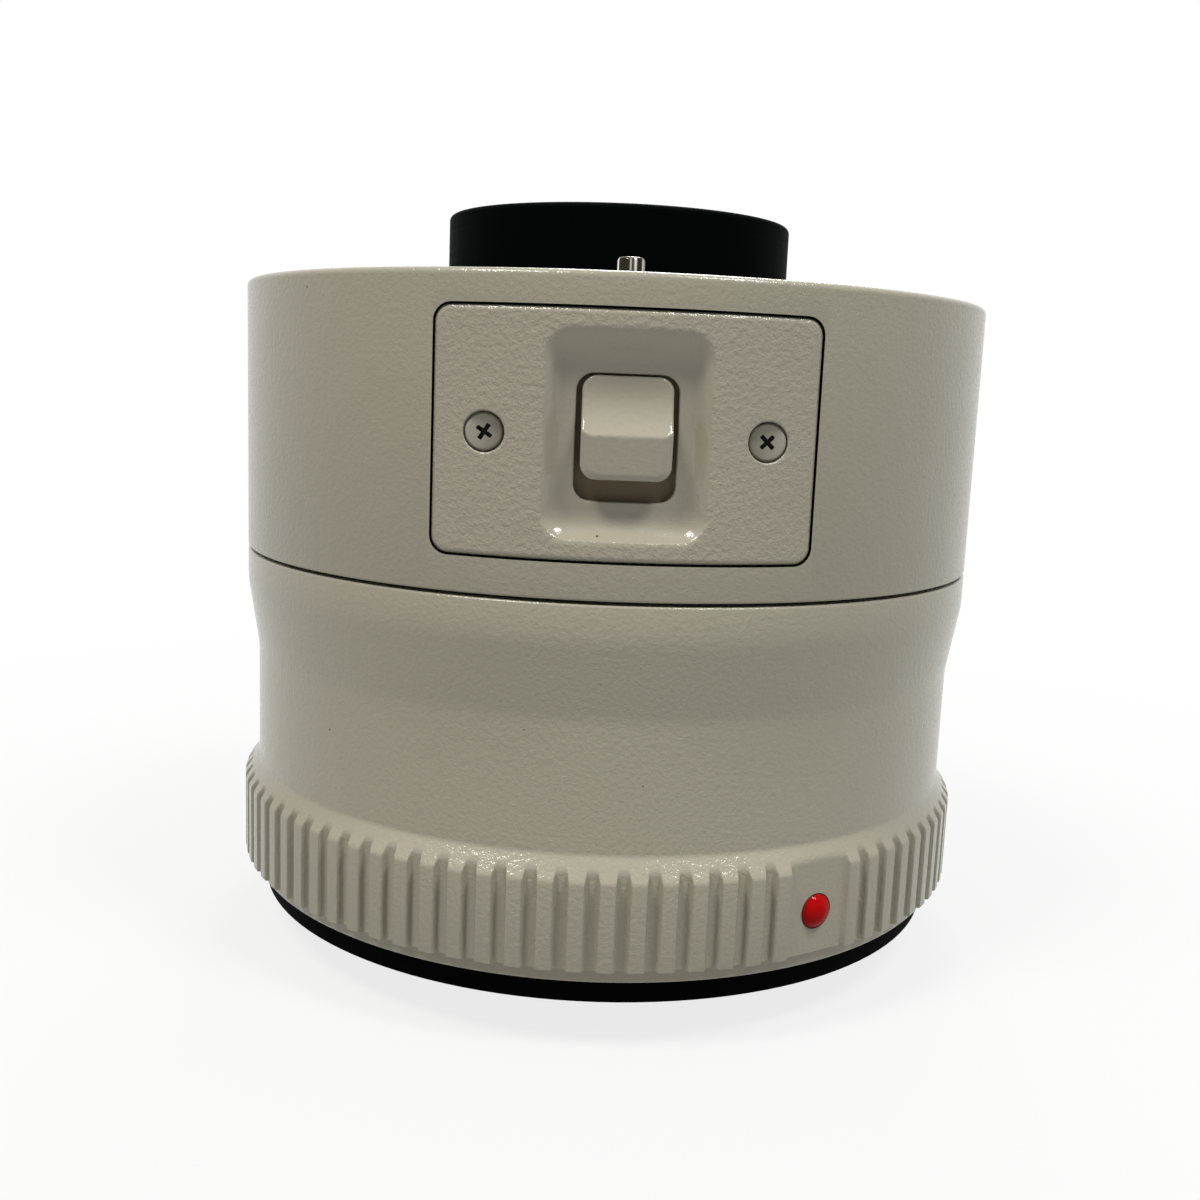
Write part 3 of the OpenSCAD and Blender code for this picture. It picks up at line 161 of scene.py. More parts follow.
# %% Specks
specks, specks_in, specks_out = new_group(
    "specks", [("Scale", "Float", 600.0), ("Size", "Float", 0.12), ("Kept Share", "Float", 0.1)],
    [("Mask", "Float")])
place = add_node(specks, "TexCoord")
cells = add_node(specks, "TexVoronoi")
split = add_node(specks, "SeparateColor")
near = add_node(specks, "Math", operation="LESS_THAN")
kept = add_node(specks, "Math", operation="LESS_THAN")
both = add_node(specks, "Math", operation="MULTIPLY")
join(specks, place, "Object", cells, "Vector")
join(specks, specks_in, "Scale", cells, "Scale")
join(specks, cells, "Distance", near, 0)
join(specks, specks_in, "Size", near, 1)
join(specks, cells, "Color", split, "Color")
join(specks, split, "Red", kept, 0)
join(specks, specks_in, "Kept Share", kept, 1)
join(specks, near, 0, both, 0)
join(specks, kept, 0, both, 1)
join(specks, both, 0, specks_out, "Mask")
print("speck nodes:", len(specks.nodes))

# %% Mottle
mottle, mottle_in, mottle_out = new_group(
    "mottle", [("Scale", "Float", 60.0), ("First", "Color", (0.3, 0.3, 0.3, 1)),
               ("Second", "Color", (0.35, 0.35, 0.35, 1))], [("Color", "Color")])
place = add_node(mottle, "TexCoord")
drift = add_node(mottle, "TexNoise", {"Detail": 3.0})
blend = add_node(mottle, "Mix", data_type="RGBA")
join(mottle, place, "Object", drift, "Vector")
join(mottle, mottle_in, "Scale", drift, "Scale")
join(mottle, drift, "Fac", blend, "Factor")
join(mottle, mottle_in, "First", blend, "A")
join(mottle, mottle_in, "Second", blend, "B")
join(mottle, blend, "Result", mottle_out, "Color")
print("mottle nodes:", len(mottle.nodes))

# %% Turned lines
turned, turned_in, turned_out = new_group(
    "turned_lines", [("Scale", "Float", 6000.0)], [("Height", "Float")])
place = add_node(turned, "TexCoord")
parts = add_node(turned, "SeparateXYZ")
flat = add_node(turned, "CombineXYZ")
radius = add_node(turned, "VectorMath", operation="LENGTH")
rings = add_node(turned, "CombineXYZ")
lines = add_node(turned, "TexNoise", {"Detail": 2.0})
join(turned, place, "Object", parts, "Vector")
join(turned, parts, "X", flat, "X")
join(turned, parts, "Y", flat, "Y")
join(turned, flat, "Vector", radius, 0)
join(turned, radius, "Value", rings, "X")
join(turned, parts, "Z", rings, "Y")
join(turned, rings, "Vector", lines, "Vector")
join(turned, turned_in, "Scale", lines, "Scale")
join(turned, lines, "Fac", turned_out, "Height")
print("shared effects:", [g.name for g in bpy.data.node_groups])

# %% [markdown]
# ## Finishes
#
# One function builds all the opaque finishes. The colour drifts between two tones, specks of a third colour
# lie on it, and a height effect feeds a Bump node. What is the same all over a surface, such as a metallic
# value, is set on the shader's own socket, so that an export keeps it.

# %% Build an opaque finish
def finish(name, tones, roughness, bump, metallic=0.0, specular=0.5, tone_scale=60.0, peel_scale=None,
           lines=None, speck=None):
    """Make a material with an orange peel or with turned lines. bump is the depth of either in mm.

    roughness is its lowest and highest value. speck is its colour, cells per metre, size in a cell and the
    share of the cells that keep one.
    """
    material = bpy.data.materials.new(name)
    material.use_nodes = True
    tree = material.node_tree
    shader = tree.nodes["Principled BSDF"]
    shader.inputs["Metallic"].default_value = metallic
    shader.inputs["Specular IOR Level"].default_value = specular
    tone_values = {"Scale": tone_scale, "First": (*tones[0], 1), "Second": (*tones[1], 1)}
    colour = add_node(tree, "Group", tone_values, node_tree=mottle)
    gloss = add_node(tree, "MapRange", {"To Min": roughness[0], "To Max": roughness[1]})
    if speck:
        grain, cells_per_metre, size, share = speck
        dust_values = {"Scale": cells_per_metre, "Size": size, "Kept Share": share}
        dust = add_node(tree, "Group", dust_values, node_tree=specks)
        dusted = add_node(tree, "Mix", {"B": (*grain, 1)}, data_type="RGBA")
        join(tree, dust, "Mask", dusted, "Factor")
        join(tree, colour, "Color", dusted, "A")
        join(tree, dusted, "Result", shader, "Base Color")
    else:
        join(tree, colour, "Color", shader, "Base Color")
    effect = peel if peel_scale else turned
    relief = add_node(tree, "Group", {"Scale": peel_scale or lines}, node_tree=effect)
    bumps = add_node(tree, "Bump", {"Strength": 1.0, "Distance": bump * MM})
    join(tree, relief, "Height", bumps, "Height")
    join(tree, bumps, "Normal", shader, "Normal")
    join(tree, relief, "Height", gloss, "Value")
    join(tree, gloss, "Result", shader, "Roughness")
    return material


# %% [markdown]
# The paint is a warm light grey with an orange peel, deeper on the lock plate and shallower in its dish and
# on the knob, and a few dark grains sit in it. The lower barrel and the plate are a touch lighter than the
# upper barrel. The plate's screws are painted too. A near-black finish is painted shade, where shade falls
# in the pocket round the plate, in the screws' cross recesses and in the rings round the index dots.

# %% Paints
PAINT_TONES = ((0.246, 0.229, 0.176), (0.266, 0.247, 0.190))
PLATE_TONES = ((0.258, 0.238, 0.184), (0.280, 0.258, 0.200))
GRIP_TONES = ((0.262, 0.244, 0.188), (0.284, 0.264, 0.204))
GRAINS = ((0.05, 0.045, 0.035), 420, 0.045, 0.10)
FINE_GRAINS = ((0.06, 0.05, 0.04), 500, 0.06, 0.10)
paint = finish("grey_paint", PAINT_TONES, (0.10, 0.24), specular=0.28, tone_scale=55, peel_scale=2500,
               bump=0.065, speck=GRAINS)
grip_paint = finish("grip_grey_paint", GRIP_TONES, (0.10, 0.22), specular=0.32, tone_scale=55,
                    peel_scale=2500, bump=0.065, speck=GRAINS)
plate_paint = finish("coarse_grey_paint", PLATE_TONES, (0.10, 0.22), specular=0.36, tone_scale=55,
                     peel_scale=2400, bump=0.125, speck=GRAINS)
smooth_paint = finish("smooth_grey_paint", PLATE_TONES, (0.10, 0.22), specular=0.4, peel_scale=2200,
                      bump=0.04, speck=FINE_GRAINS)
screw_paint = finish("painted_screw", ((0.24, 0.225, 0.18), (0.28, 0.26, 0.21)), (0.3, 0.4), specular=0.35,
                     peel_scale=3000, bump=0.015)
# Near-black painted shade for the pocket, the cross recesses and the rings round the dots.
recess_shade = finish("painted_recess_shade", ((0.010, 0.009, 0.006), (0.022, 0.020, 0.014)), (0.6, 0.8), specular=0.1,
                peel_scale=5000, bump=0.01)
print("paints and dirt:", len(bpy.data.materials))

# %% [markdown]
# The nose is anodised almost to pure black, and the seal is matt rubber; dust shows on both. The contact
# blocks are black plastic, and the casting inside has a thin black coat over its metal.

# %% Black finishes
anodised = finish("black_anodised", ((0.0002, 0.0003, 0.0003), (0.0010, 0.0016, 0.0016)), (0.5, 0.65),
                  specular=0.01, lines=5000, bump=0.004, speck=((0.010, 0.013, 0.016), 900, 0.12, 0.03))
rubber = finish("black_rubber", ((0.0003, 0.0003, 0.0003), (0.0010, 0.0010, 0.0011)), (0.65, 0.8),
                specular=0.01, peel_scale=4000, bump=0.01, speck=((0.05, 0.05, 0.045), 700, 0.06, 0.02))
black_plastic = finish("black_plastic", ((0.008, 0.008, 0.009), (0.012, 0.012, 0.013)), (0.42, 0.55),
                       specular=0.2, peel_scale=5000, bump=0.012,
                       speck=((0.10, 0.10, 0.10), 800, 0.07, 0.02))
cast_frame = finish("black_casting", ((0.018, 0.018, 0.019), (0.030, 0.030, 0.031)), (0.45, 0.6),
                    metallic=0.3, peel_scale=2500, bump=0.02)
print("with the blacks:", len(bpy.data.materials))

# %% [markdown]
# The steel of the mounts keeps the rings of the lathe. Screws are darker than springs, the plate behind the
# knob is browned, with its brown darkened further as painted shade under the knob, and the contacts are
# plated with gold. The index dots are glossy red enamel, and the boards and the ribbon inside are plain
# lacquered plastic.

# %% Metals, enamel and boards
steel = finish("turned_steel", ((0.40, 0.395, 0.38), (0.47, 0.465, 0.45)), (0.20, 0.30), metallic=1.0,
               lines=9000, bump=0.0025)
screw_steel = finish("screw_steel", ((0.20, 0.195, 0.185), (0.27, 0.265, 0.25)), (0.22, 0.34), metallic=1.0,
                     peel_scale=4000, bump=0.004)
spring_steel = finish("spring_steel", ((0.50, 0.49, 0.46), (0.56, 0.55, 0.52)), (0.22, 0.32), metallic=1.0,
                      peel_scale=4000, bump=0.003)
# Browned metal, its tones darkened further as painted shade under the knob.
browned_and_shaded = finish("browned_metal_with_painted_shade", ((0.115, 0.090, 0.053), (0.160, 0.129, 0.079)), (0.45, 0.6), specular=0.2,
                 peel_scale=3500, bump=0.01, speck=((0.30, 0.27, 0.22), 1500, 0.22, 0.06))
gold = finish("gold_plate", ((0.78, 0.53, 0.20), (0.84, 0.59, 0.25)), (0.16, 0.26), metallic=1.0,
              peel_scale=6000, bump=0.002)
enamel = finish("red_enamel", ((0.26, 0.0005, 0.0008), (0.31, 0.0008, 0.0012)), (0.05, 0.08),
                specular=0.045, peel_scale=1200, bump=0.004)
circuit = finish("circuit_board", ((0.010, 0.060, 0.028), (0.016, 0.085, 0.040)), (0.3, 0.4),
                 peel_scale=3000, bump=0.004, tone_scale=900)
ribbon = finish("ribbon", ((0.30, 0.14, 0.025), (0.36, 0.17, 0.03)), (0.25, 0.35), peel_scale=2500,
                bump=0.004)
print("opaque finishes:", len(bpy.data.materials))

# %% [markdown]
# The lock pin is drawn bar, polished along its length. Its dark and bright streaks are painted reflections:
# a noise that is drawn out along Z by a Mapping node, with a colour ramp for the contrast between them.

# %% Steel with painted reflections
# Painted reflections: the dark and the bright tone of the bands that stand for mirrored surroundings.
DARK_REFLECTION = (0.47, (0.030, 0.026, 0.018, 1))
BRIGHT_REFLECTION = (0.62, (0.80, 0.77, 0.70, 1))
REFLECTION_SCALE, REFLECTION_STRETCH, PIN_ROUGHNESS = 2300.0, (1, 1, 0.02), 0.14
steel_painted_reflections = bpy.data.materials.new("steel_painted_reflections")
steel_painted_reflections.use_nodes = True
pin_tree = steel_painted_reflections.node_tree
pin_shader = pin_tree.nodes["Principled BSDF"]
pin_shader.inputs["Metallic"].default_value = 1.0
pin_shader.inputs["Roughness"].default_value = PIN_ROUGHNESS
place = add_node(pin_tree, "TexCoord")
drawn_out = add_node(pin_tree, "Mapping", {"Scale": REFLECTION_STRETCH})
painted_reflections = add_node(pin_tree, "TexNoise", {"Scale": REFLECTION_SCALE, "Detail": 1.0})
contrast = add_node(pin_tree, "ValToRGB")
for stop, (position, tone) in zip(contrast.color_ramp.elements, (DARK_REFLECTION, BRIGHT_REFLECTION)):
    stop.position = position
    stop.color = tone
join(pin_tree, place, "Object", drawn_out, "Vector")
join(pin_tree, drawn_out, "Vector", painted_reflections, "Vector")
join(pin_tree, painted_reflections, "Fac", contrast, "Fac")
join(pin_tree, contrast, "Color", pin_shader, "Base Color")
print("drawn steel nodes:", len(pin_tree.nodes))

# %% [markdown]
# Glass is clear, with the faint colour of an anti-reflection coating. The coating is a thin film, which the
# shader works out by itself from a thickness in nanometres.

# %% Glass
GLASS_VALUES = {"Base Color": (0.96, 0.98, 0.97, 1), "Roughness": 0.0, "IOR": 1.55,
                "Transmission Weight": 1.0, "Thin Film Thickness": 420.0, "Thin Film IOR": 1.38}
glass = bpy.data.materials.new("coated_glass")
glass.use_nodes = True
glass_shader = glass.node_tree.nodes["Principled BSDF"]
for socket, value in GLASS_VALUES.items():
    glass_shader.inputs[socket].default_value = value
print("finishes:", len(bpy.data.materials))

# %% [markdown]
# ## Mesh helpers
#
# Two ways of modelling cover most of the pieces. A turned piece starts as one point that is extruded along
# its outline and spun round the lens axis. A piece with a free form starts as a flat grid: its columns and
# rows are laid on the form by a formula, and its open edges are welded, like a sheet that is rolled up.

# %% Start clean, weld and settle
WELD_REACH = 0.0005


def start_fresh():
    """Leave edit mode and deselect everything, because an operator acts on all that is selected."""
    if bpy.context.mode != "OBJECT":
        bpy.ops.object.mode_set(mode="OBJECT")
    bpy.ops.object.select_all(action="DESELECT")


def weld(obj):
    """Merge points that lie on each other and turn all faces outwards."""
    start_fresh()
    bpy.context.view_layer.objects.active = obj
    bpy.ops.object.mode_set(mode="EDIT")
    bpy.ops.mesh.select_all(action="SELECT")
    bpy.ops.mesh.remove_doubles(threshold=WELD_REACH * MM)
    bpy.ops.mesh.normals_make_consistent(inside=False)
    bpy.ops.object.mode_set(mode="OBJECT")


def two_finishes(obj, first, second, takes_second):
    """Give a piece two materials. takes_second tells by a face's centre in mm which one the face gets."""
    obj.data.materials.append(first)
    obj.data.materials.append(second)
    for poly in obj.data.polygons:
        poly.material_index = int(takes_second(poly.center / MM))


def settle(obj, name, material, body, replaced, smooth):
    """Shade a piece, give it its finish and its body, and let it stand for a CAD node.

    Edges of up to smooth degrees are shaded smooth.
    """
    start_fresh()
    obj.select_set(True)
    bpy.context.view_layer.objects.active = obj
    bpy.ops.object.transform_apply(location=True, rotation=True, scale=True)
    bpy.ops.object.shade_smooth_by_angle(angle=math.radians(smooth))
    obj.name = obj.data.name = name
    if not obj.data.materials:
        obj.data.materials.append(material)
    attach(obj, body)
    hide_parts(replaced)
    print(f"{name}: {len(obj.data.vertices)} points, {len(obj.data.polygons)} faces, for {replaced}")


# %% Turned pieces and rolled sheets
def quarter_arc(steps):
    """Angles of a quarter turn, for the rows of a rounded edge."""
    return [math.pi / 2 * k / steps for k in range(steps + 1)]


def round_corners(corners, steps=5):
    """Turn (radius, height, rounding) corners into outline points, with an arc at each rounded one."""
    points = []
    for i, (r, z, rounding) in enumerate(corners):
        here = Vector((r, z))
        if rounding == 0:
            points.append(here)
            continue
        back = (Vector(corners[i - 1][:2]) - here).normalized()
        ahead = (Vector(corners[(i + 1) % len(corners)][:2]) - here).normalized()
        half = back.angle(ahead) / 2
        middle = here + (back + ahead).normalized() * rounding / math.sin(half)
        spokes = [here + way * rounding / math.tan(half) - middle for way in (back, ahead)]
        first = math.atan2(spokes[0].y, spokes[0].x)
        sweep = math.remainder(math.atan2(spokes[1].y, spokes[1].x) - first, math.tau)
        for k in range(steps + 1):
            angle = first + sweep * k / steps
            points.append(middle + rounding * Vector((math.cos(angle), math.sin(angle))))
    return points


def turn_on_lathe(points, steps):
    """Extrude one point along an outline of radius and height, and spin it round the Z axis."""
    start_fresh()
    bpy.ops.mesh.primitive_plane_add(size=MM, location=(points[0][0] * MM, 0, points[0][1] * MM))
    obj = bpy.context.object
    bpy.ops.object.transform_apply(location=True, rotation=True, scale=True)
    bpy.ops.object.mode_set(mode="EDIT")
    bpy.ops.mesh.select_mode(type="VERT")
    bpy.ops.mesh.select_all(action="SELECT")
    bpy.ops.mesh.merge(type="CENTER")
    for a, b in zip(points, points[1:]):
        step = Vector((b[0] - a[0], 0, b[1] - a[1])) * MM
        bpy.ops.mesh.extrude_vertices_move(TRANSFORM_OT_translate={"value": step})
    bpy.ops.mesh.select_all(action="SELECT")
    bpy.ops.mesh.spin(steps=steps, angle=math.tau, center=(0, 0, 0), axis=(0, 0, 1))
    bpy.ops.object.mode_set(mode="OBJECT")
    weld(obj)
    return obj


def roll_sheet(columns, rows, place_points):
    """Lay a flat grid on a form. place_points takes column and row numbers, and gives x, y, z in mm."""
    start_fresh()
    bpy.ops.mesh.primitive_grid_add(x_subdivisions=columns, y_subdivisions=rows, size=1)
    obj = bpy.context.object
    flat = np.empty(len(obj.data.vertices) * 3)
    obj.data.vertices.foreach_get("co", flat)
    column, row = np.rint((flat.reshape(-1, 3)[:, :2] + 0.5) * (columns, rows)).astype(int).T
    obj.data.vertices.foreach_set("co", (np.stack(place_points(column, row), axis=1) * MM).ravel())
    weld(obj)
    return obj


def roll_rows(rows):
    """Roll up a sheet whose rows are given as arrays of x, y and z in mm."""
    grid = np.array(rows)
    columns = grid.shape[2]
    return roll_sheet(columns, len(grid) - 1, lambda column, row: grid[row, :, column % columns].T)


# %% Cut one piece with another
def cut_away(obj, cutter):
    """Subtract a helper mesh with an applied Boolean modifier, and delete the helper."""
    start_fresh()
    bpy.context.view_layer.objects.active = obj
    obj.select_set(True)
    boolean = obj.modifiers.new("cut", "BOOLEAN")
    boolean.operation = "DIFFERENCE"
    boolean.object = cutter
    bpy.ops.object.modifier_apply(modifier=boolean.name)
    bpy.data.objects.remove(cutter)


def soft_block(width, depth, height, centre, corner, steps=8):
    """A cube at its size, with the four edges that run along Y rounded by a bevel."""
    start_fresh()
    bpy.ops.mesh.primitive_cube_add(size=1, location=Vector(centre) * MM)
    obj = bpy.context.object
    obj.scale = Vector((width, depth, height)) * MM
    bpy.ops.object.transform_apply(location=True, rotation=True, scale=True)
    bpy.ops.object.mode_set(mode="EDIT")
    bpy.ops.mesh.select_all(action="DESELECT")
    bpy.ops.object.mode_set(mode="OBJECT")
    for edge in obj.data.edges:
        a, b = (obj.data.vertices[i].co for i in edge.vertices)
        edge.select = abs(a.y - b.y) > depth * MM / 2
    bpy.ops.object.mode_set(mode="EDIT")
    bpy.ops.mesh.select_mode(type="EDGE")
    bpy.ops.mesh.bevel(offset=corner * MM, segments=steps, affect="EDGES")
    bpy.ops.object.mode_set(mode="OBJECT")
    return obj


# %% [markdown]
# ## Front barrel
#
# The upper shell is a plain painted tube, turned on a lathe, with a rounded rim and a pocket for the lock
# plate. The outline below runs up the outside, over the rim and down the inside.

# %% Front barrel
barrel_low, barrel_high = (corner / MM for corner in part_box("front_barrel"))
plate_low, plate_high = (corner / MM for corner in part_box("lock_plate"))
FRONT_R = barrel_high.x
RIM_Z, SEAM_TOP = barrel_high.z, barrel_low.z
WALL, BARREL_STEPS = 2.6, 384
FRONT_BORE = FRONT_R - WALL
RING_POCKET_R, RING_SEAT_Z = 32.6, 55.2
LIP_R, LIP_Z = 31.2, 53.8
SEAM_EDGE, RIM_EDGE, RING_EDGE = 0.2, 0.55, 0.12
front_outline = round_corners([
    (FRONT_BORE, SEAM_TOP, 0), (FRONT_R, SEAM_TOP, SEAM_EDGE), (FRONT_R, RIM_Z, RIM_EDGE),
    (RING_POCKET_R, RIM_Z, RING_EDGE), (RING_POCKET_R, RING_SEAT_Z, 0), (LIP_R, RING_SEAT_Z, 0),
    (LIP_R, LIP_Z, 0), (FRONT_BORE, LIP_Z, 0)])
front_barrel = turn_on_lathe(front_outline + front_outline[:1], BARREL_STEPS)
print("front barrel radius and height in mm:", round(FRONT_R, 2), round(RIM_Z - SEAM_TOP, 2))

# %% [markdown]
# The pocket is cut by a block with rounded corners, from which a cylinder was first taken away, so that the
# pocket's floor stays curved. A smaller block cuts the window through the wall, where the lock works. The
# pocket's faces get the near-black second material, which is painted shade in the gap round the plate.

# %% Pocket for the lock plate
PLATE_W, PLATE_H = plate_high.x - plate_low.x, plate_high.z - plate_low.z
PLATE_Z = (plate_low.z + plate_high.z) / 2
PLATE_CORNER, PLATE_GAP = 1.3, 0.13
POCKET_FLOOR_R, FLOOR_LOW, FLOOR_TOP = 33.75, 20, 70
WINDOW_W, WINDOW_H, WINDOW_CORNER = 13.07, 15.12, 1.3
CUT_DEPTH, CUT_CENTRE = 20, (0, -40, PLATE_Z)
SHADE_MARGIN, SHADE_START_DEPTH = 1, 0.2
pocket = soft_block(PLATE_W + 2 * PLATE_GAP, CUT_DEPTH, PLATE_H + 2 * PLATE_GAP, CUT_CENTRE,
                    PLATE_CORNER + PLATE_GAP)
floor_outline = [(0, FLOOR_LOW), (POCKET_FLOOR_R, FLOOR_LOW), (POCKET_FLOOR_R, FLOOR_TOP), (0, FLOOR_TOP)]
cut_away(pocket, turn_on_lathe(floor_outline, BARREL_STEPS))
cut_away(front_barrel, pocket)
cut_away(front_barrel, soft_block(WINDOW_W, CUT_DEPTH, WINDOW_H, CUT_CENTRE, WINDOW_CORNER))


def in_pocket(spot):
    beside_x = abs(spot.x) < PLATE_W / 2 + SHADE_MARGIN
    beside_z = abs(spot.z - PLATE_Z) < PLATE_H / 2 + SHADE_MARGIN
    below_face = math.hypot(spot.x, spot.y) < FRONT_R - SHADE_START_DEPTH
    return beside_x and beside_z and below_face and spot.y < 0


# The pocket's faces take the near-black painted shade.
two_finishes(front_barrel, paint, recess_shade, in_pocket)
settle(front_barrel, "painted_front_barrel", paint, "housing", "front_barrel", 30)

# %% [markdown]
# ## Rear barrel
#
# The lower shell carries the grip: 90 pitches of ribs whose grooves run out on a sloping shoulder. Cutting
# grooves with a Boolean leaves knife-sharp edges, so the whole barrel is one sheet instead. Each row follows
# the outline, and each column stands where a groove needs it. A groove is a second surface, and a smooth
# minimum of the two rounds every edge where they meet. The flat round the index dot is pressed in
# likewise.

# %% Outline of the rear barrel
SEAM_GAP = 0.28
SEAM_LOW = SEAM_TOP - SEAM_GAP
GRIP_R, WAIST_R, SKIRT_R = FRONT_R + 0.35, FRONT_R - 1.0, FRONT_R - 0.7
SKIRT_Z, GRIP_LOW, GRIP_TOP, SHOULDER_TOP = 1.5, 2.8, 10.25, 12.1
CONE_LOW, CONE_TOP = 23.1, 29.5
REAR_BORE, TONGUE_R, TONGUE_Z = 31.95, 32.8, 34.83
LEDGE_LOW, LEDGE_TOP = 1.8, 3.2
SKIRT_EDGE, GRIP_EDGE, SHOULDER_BEND, CONE_BEND, BEND_STEPS = 0.25, 0.1, 0.7, 9, 4
SLOPE_FROM, SLOPE_TO, SLOPE_ROWS = 0.15, 0.8, 12
slope = [(GRIP_R + (WAIST_R - GRIP_R) * t, GRIP_TOP + (SHOULDER_TOP - GRIP_TOP) * t, 0)
         for t in np.linspace(SLOPE_FROM, SLOPE_TO, SLOPE_ROWS)]
rear_corners = round_corners([
    (LIP_R, LEDGE_TOP, 0), (LIP_R, LEDGE_LOW, 0), (RING_POCKET_R, LEDGE_LOW, 0), (RING_POCKET_R, SKIRT_Z, 0),
    (SKIRT_R, SKIRT_Z, SKIRT_EDGE), (SKIRT_R, GRIP_LOW, GRIP_EDGE), (GRIP_R, GRIP_LOW, GRIP_EDGE),
    (GRIP_R, GRIP_TOP, SHOULDER_BEND), *slope, (WAIST_R, SHOULDER_TOP, SHOULDER_BEND),
    (WAIST_R, CONE_LOW, CONE_BEND), (FRONT_R, CONE_TOP, CONE_BEND), (FRONT_R, SEAM_LOW, SEAM_EDGE),
    (TONGUE_R, SEAM_LOW, 0), (TONGUE_R, TONGUE_Z, 0), (REAR_BORE, TONGUE_Z, 0), (REAR_BORE, LEDGE_TOP, 0)],
    BEND_STEPS)
rear_outline = np.array([tuple(p) for p in rear_corners + rear_corners[:1]])
print("rear outline points:", len(rear_outline))

# %% Press the grooves
PITCHES, DOT_AZIMUTH = 90, 30
GROOVE_HALF, GROOVE_LEAN, GROOVE_DEPTH, PANEL_HALF = 0.42, 0.3, 0.6, 3.0
EDGE_BLEND, PANEL_DEGREES, ROW_SLACK = 0.24, 6, 0.01
COLUMN_PLACES = (0, 0.22, 0.36, 0.44, 0.51, 0.58, 0.66, 0.78, 0.98)
half_pitch = math.pi / PITCHES * GRIP_R
columns_in_pitch = sorted([-x for x in COLUMN_PLACES[1:]] + list(COLUMN_PLACES) + [half_pitch])


def smooth_minimum(a, b, blend):
    """The lower of two surfaces, with a rounding of about the given width where they cross."""
    share = np.maximum(blend - np.abs(a - b), 0) / blend
    return np.minimum(a, b) - share ** 2 * blend / 4


def ribbed_points(column, row):
    """Place the barrel's points: the outline, with the grooves and the dot's flat pressed into it."""
    per_pitch = len(columns_in_pitch)
    column = column % (PITCHES * per_pitch)
    pitch, place = np.divmod(column, per_pitch)
    off_groove = np.array(columns_in_pitch)[place]
    from_dot = np.radians(360 / PITCHES) * pitch + off_groove / GRIP_R
    from_dot = np.remainder(from_dot + np.pi, 2 * np.pi) - np.pi
    radius, height = rear_outline[row].T
    floor_r = GRIP_R - GROOVE_DEPTH
    groove = floor_r + np.maximum(np.abs(off_groove) - GROOVE_HALF, 0) / GROOVE_LEAN
    panel = floor_r / np.cos(from_dot) + np.maximum(np.abs(from_dot) * GRIP_R - PANEL_HALF, 0) / GROOVE_LEAN
    on_panel = np.abs(from_dot) < np.radians(PANEL_DEGREES)
    pressed = smooth_minimum(radius, np.where(on_panel, panel, groove), EDGE_BLEND)
    radius = np.where((height > GRIP_LOW - ROW_SLACK) & (height < SHOULDER_TOP), pressed, radius)
    angle = from_dot + np.radians(DOT_AZIMUTH)
    return radius * np.sin(angle), -radius * np.cos(angle), height


rear_barrel = roll_sheet(PITCHES * len(columns_in_pitch), len(rear_outline) - 1, ribbed_points)
settle(rear_barrel, "ribbed_rear_barrel", grip_paint, "housing", "rear_barrel", 40)

# %% [markdown]
# ## Lock plate
#
# A curved plate fills the pocket. Its dish has plain sloping walls above and beside the knob, and below it
# a hollow for the thumb: an arc that sweeps out of the flat floor up to the rim. The plate is again one
# sheet. Each row is a rounded rectangle, from the plate's back over its outer edge, across the curved face,
# down into the dish, and through the slot to the back. Smooth minimums round the rim and the foot of the
# walls.

# %% Rounded rectangles as rows
SIDE_X, SIDE_Z, CORNER = 48, 56, 10


def rectangle_loop(width, height, corner):
    """Points of a rounded rectangle and their outward ways, the same number on each side for every size."""
    turn = np.radians(np.linspace(90, 0, CORNER + 1))[:-1]
    way_x = np.concatenate([np.zeros(SIDE_X), np.cos(turn), np.ones(SIDE_Z), np.sin(turn)])
    way_z = np.concatenate([np.ones(SIDE_X), np.sin(turn), np.zeros(SIDE_Z), -np.cos(turn)])
    mid_x, mid_z = width / 2 - corner, height / 2 - corner
    across = np.linspace(-1, 1, SIDE_X + 1)[:-1] * mid_x
    along = np.linspace(1, -1, SIDE_Z + 1)[:-1] * mid_z
    x = np.concatenate([across, np.full(2 * CORNER + SIDE_Z, mid_x)]) + corner * way_x
    z = np.concatenate([np.full(SIDE_X + CORNER, mid_z), along, np.full(CORNER, -mid_z)]) + corner * way_z
    return tuple(np.concatenate([half, -half]) for half in (x, z, way_x, way_z))


# %% Rows of the lock plate
DISH_Y, DISH_BACK_Y = 33.85, 32.85
PLATE_EDGE, PLATE_BACK = 0.45, 1.75
BACK_W, BACK_H, BACK_CORNER = 12.47, 14.52, 1.3
RIM, FOOT = np.array([12.74, 15.72, 2.1]), np.array([10.4, 11.7, 1.0])
RIM_BLEND, FOOT_BLEND, ARC_REACH = 0.2, 0.3, 0.95
DISH_START, DISH_END = -0.2, 1.24
SLOT_W, SLOT_H, SLOT_CORNER, SLOT_DROP, SLOT_EDGE = 7.8, 9.68, 1.34, 0.13, 0.12
EDGE_STEPS, FACE_STEPS, DISH_STEPS, SLOT_STEPS = 5, 18, 36, 3
plate_rows = []


def plate_row(width, height, corner, depth=0.0, flat=0.0, level=DISH_Y, drop=0.0):
    """Add one row: at a depth below the curved face, or part of the way to a flat level."""
    x, z, _, _ = rectangle_loop(width, height, corner)
    curved = np.sqrt(FRONT_R ** 2 - x ** 2) - depth
    plate_rows.append((x, -(curved * (1 - flat) + level * flat), z + PLATE_Z - drop))


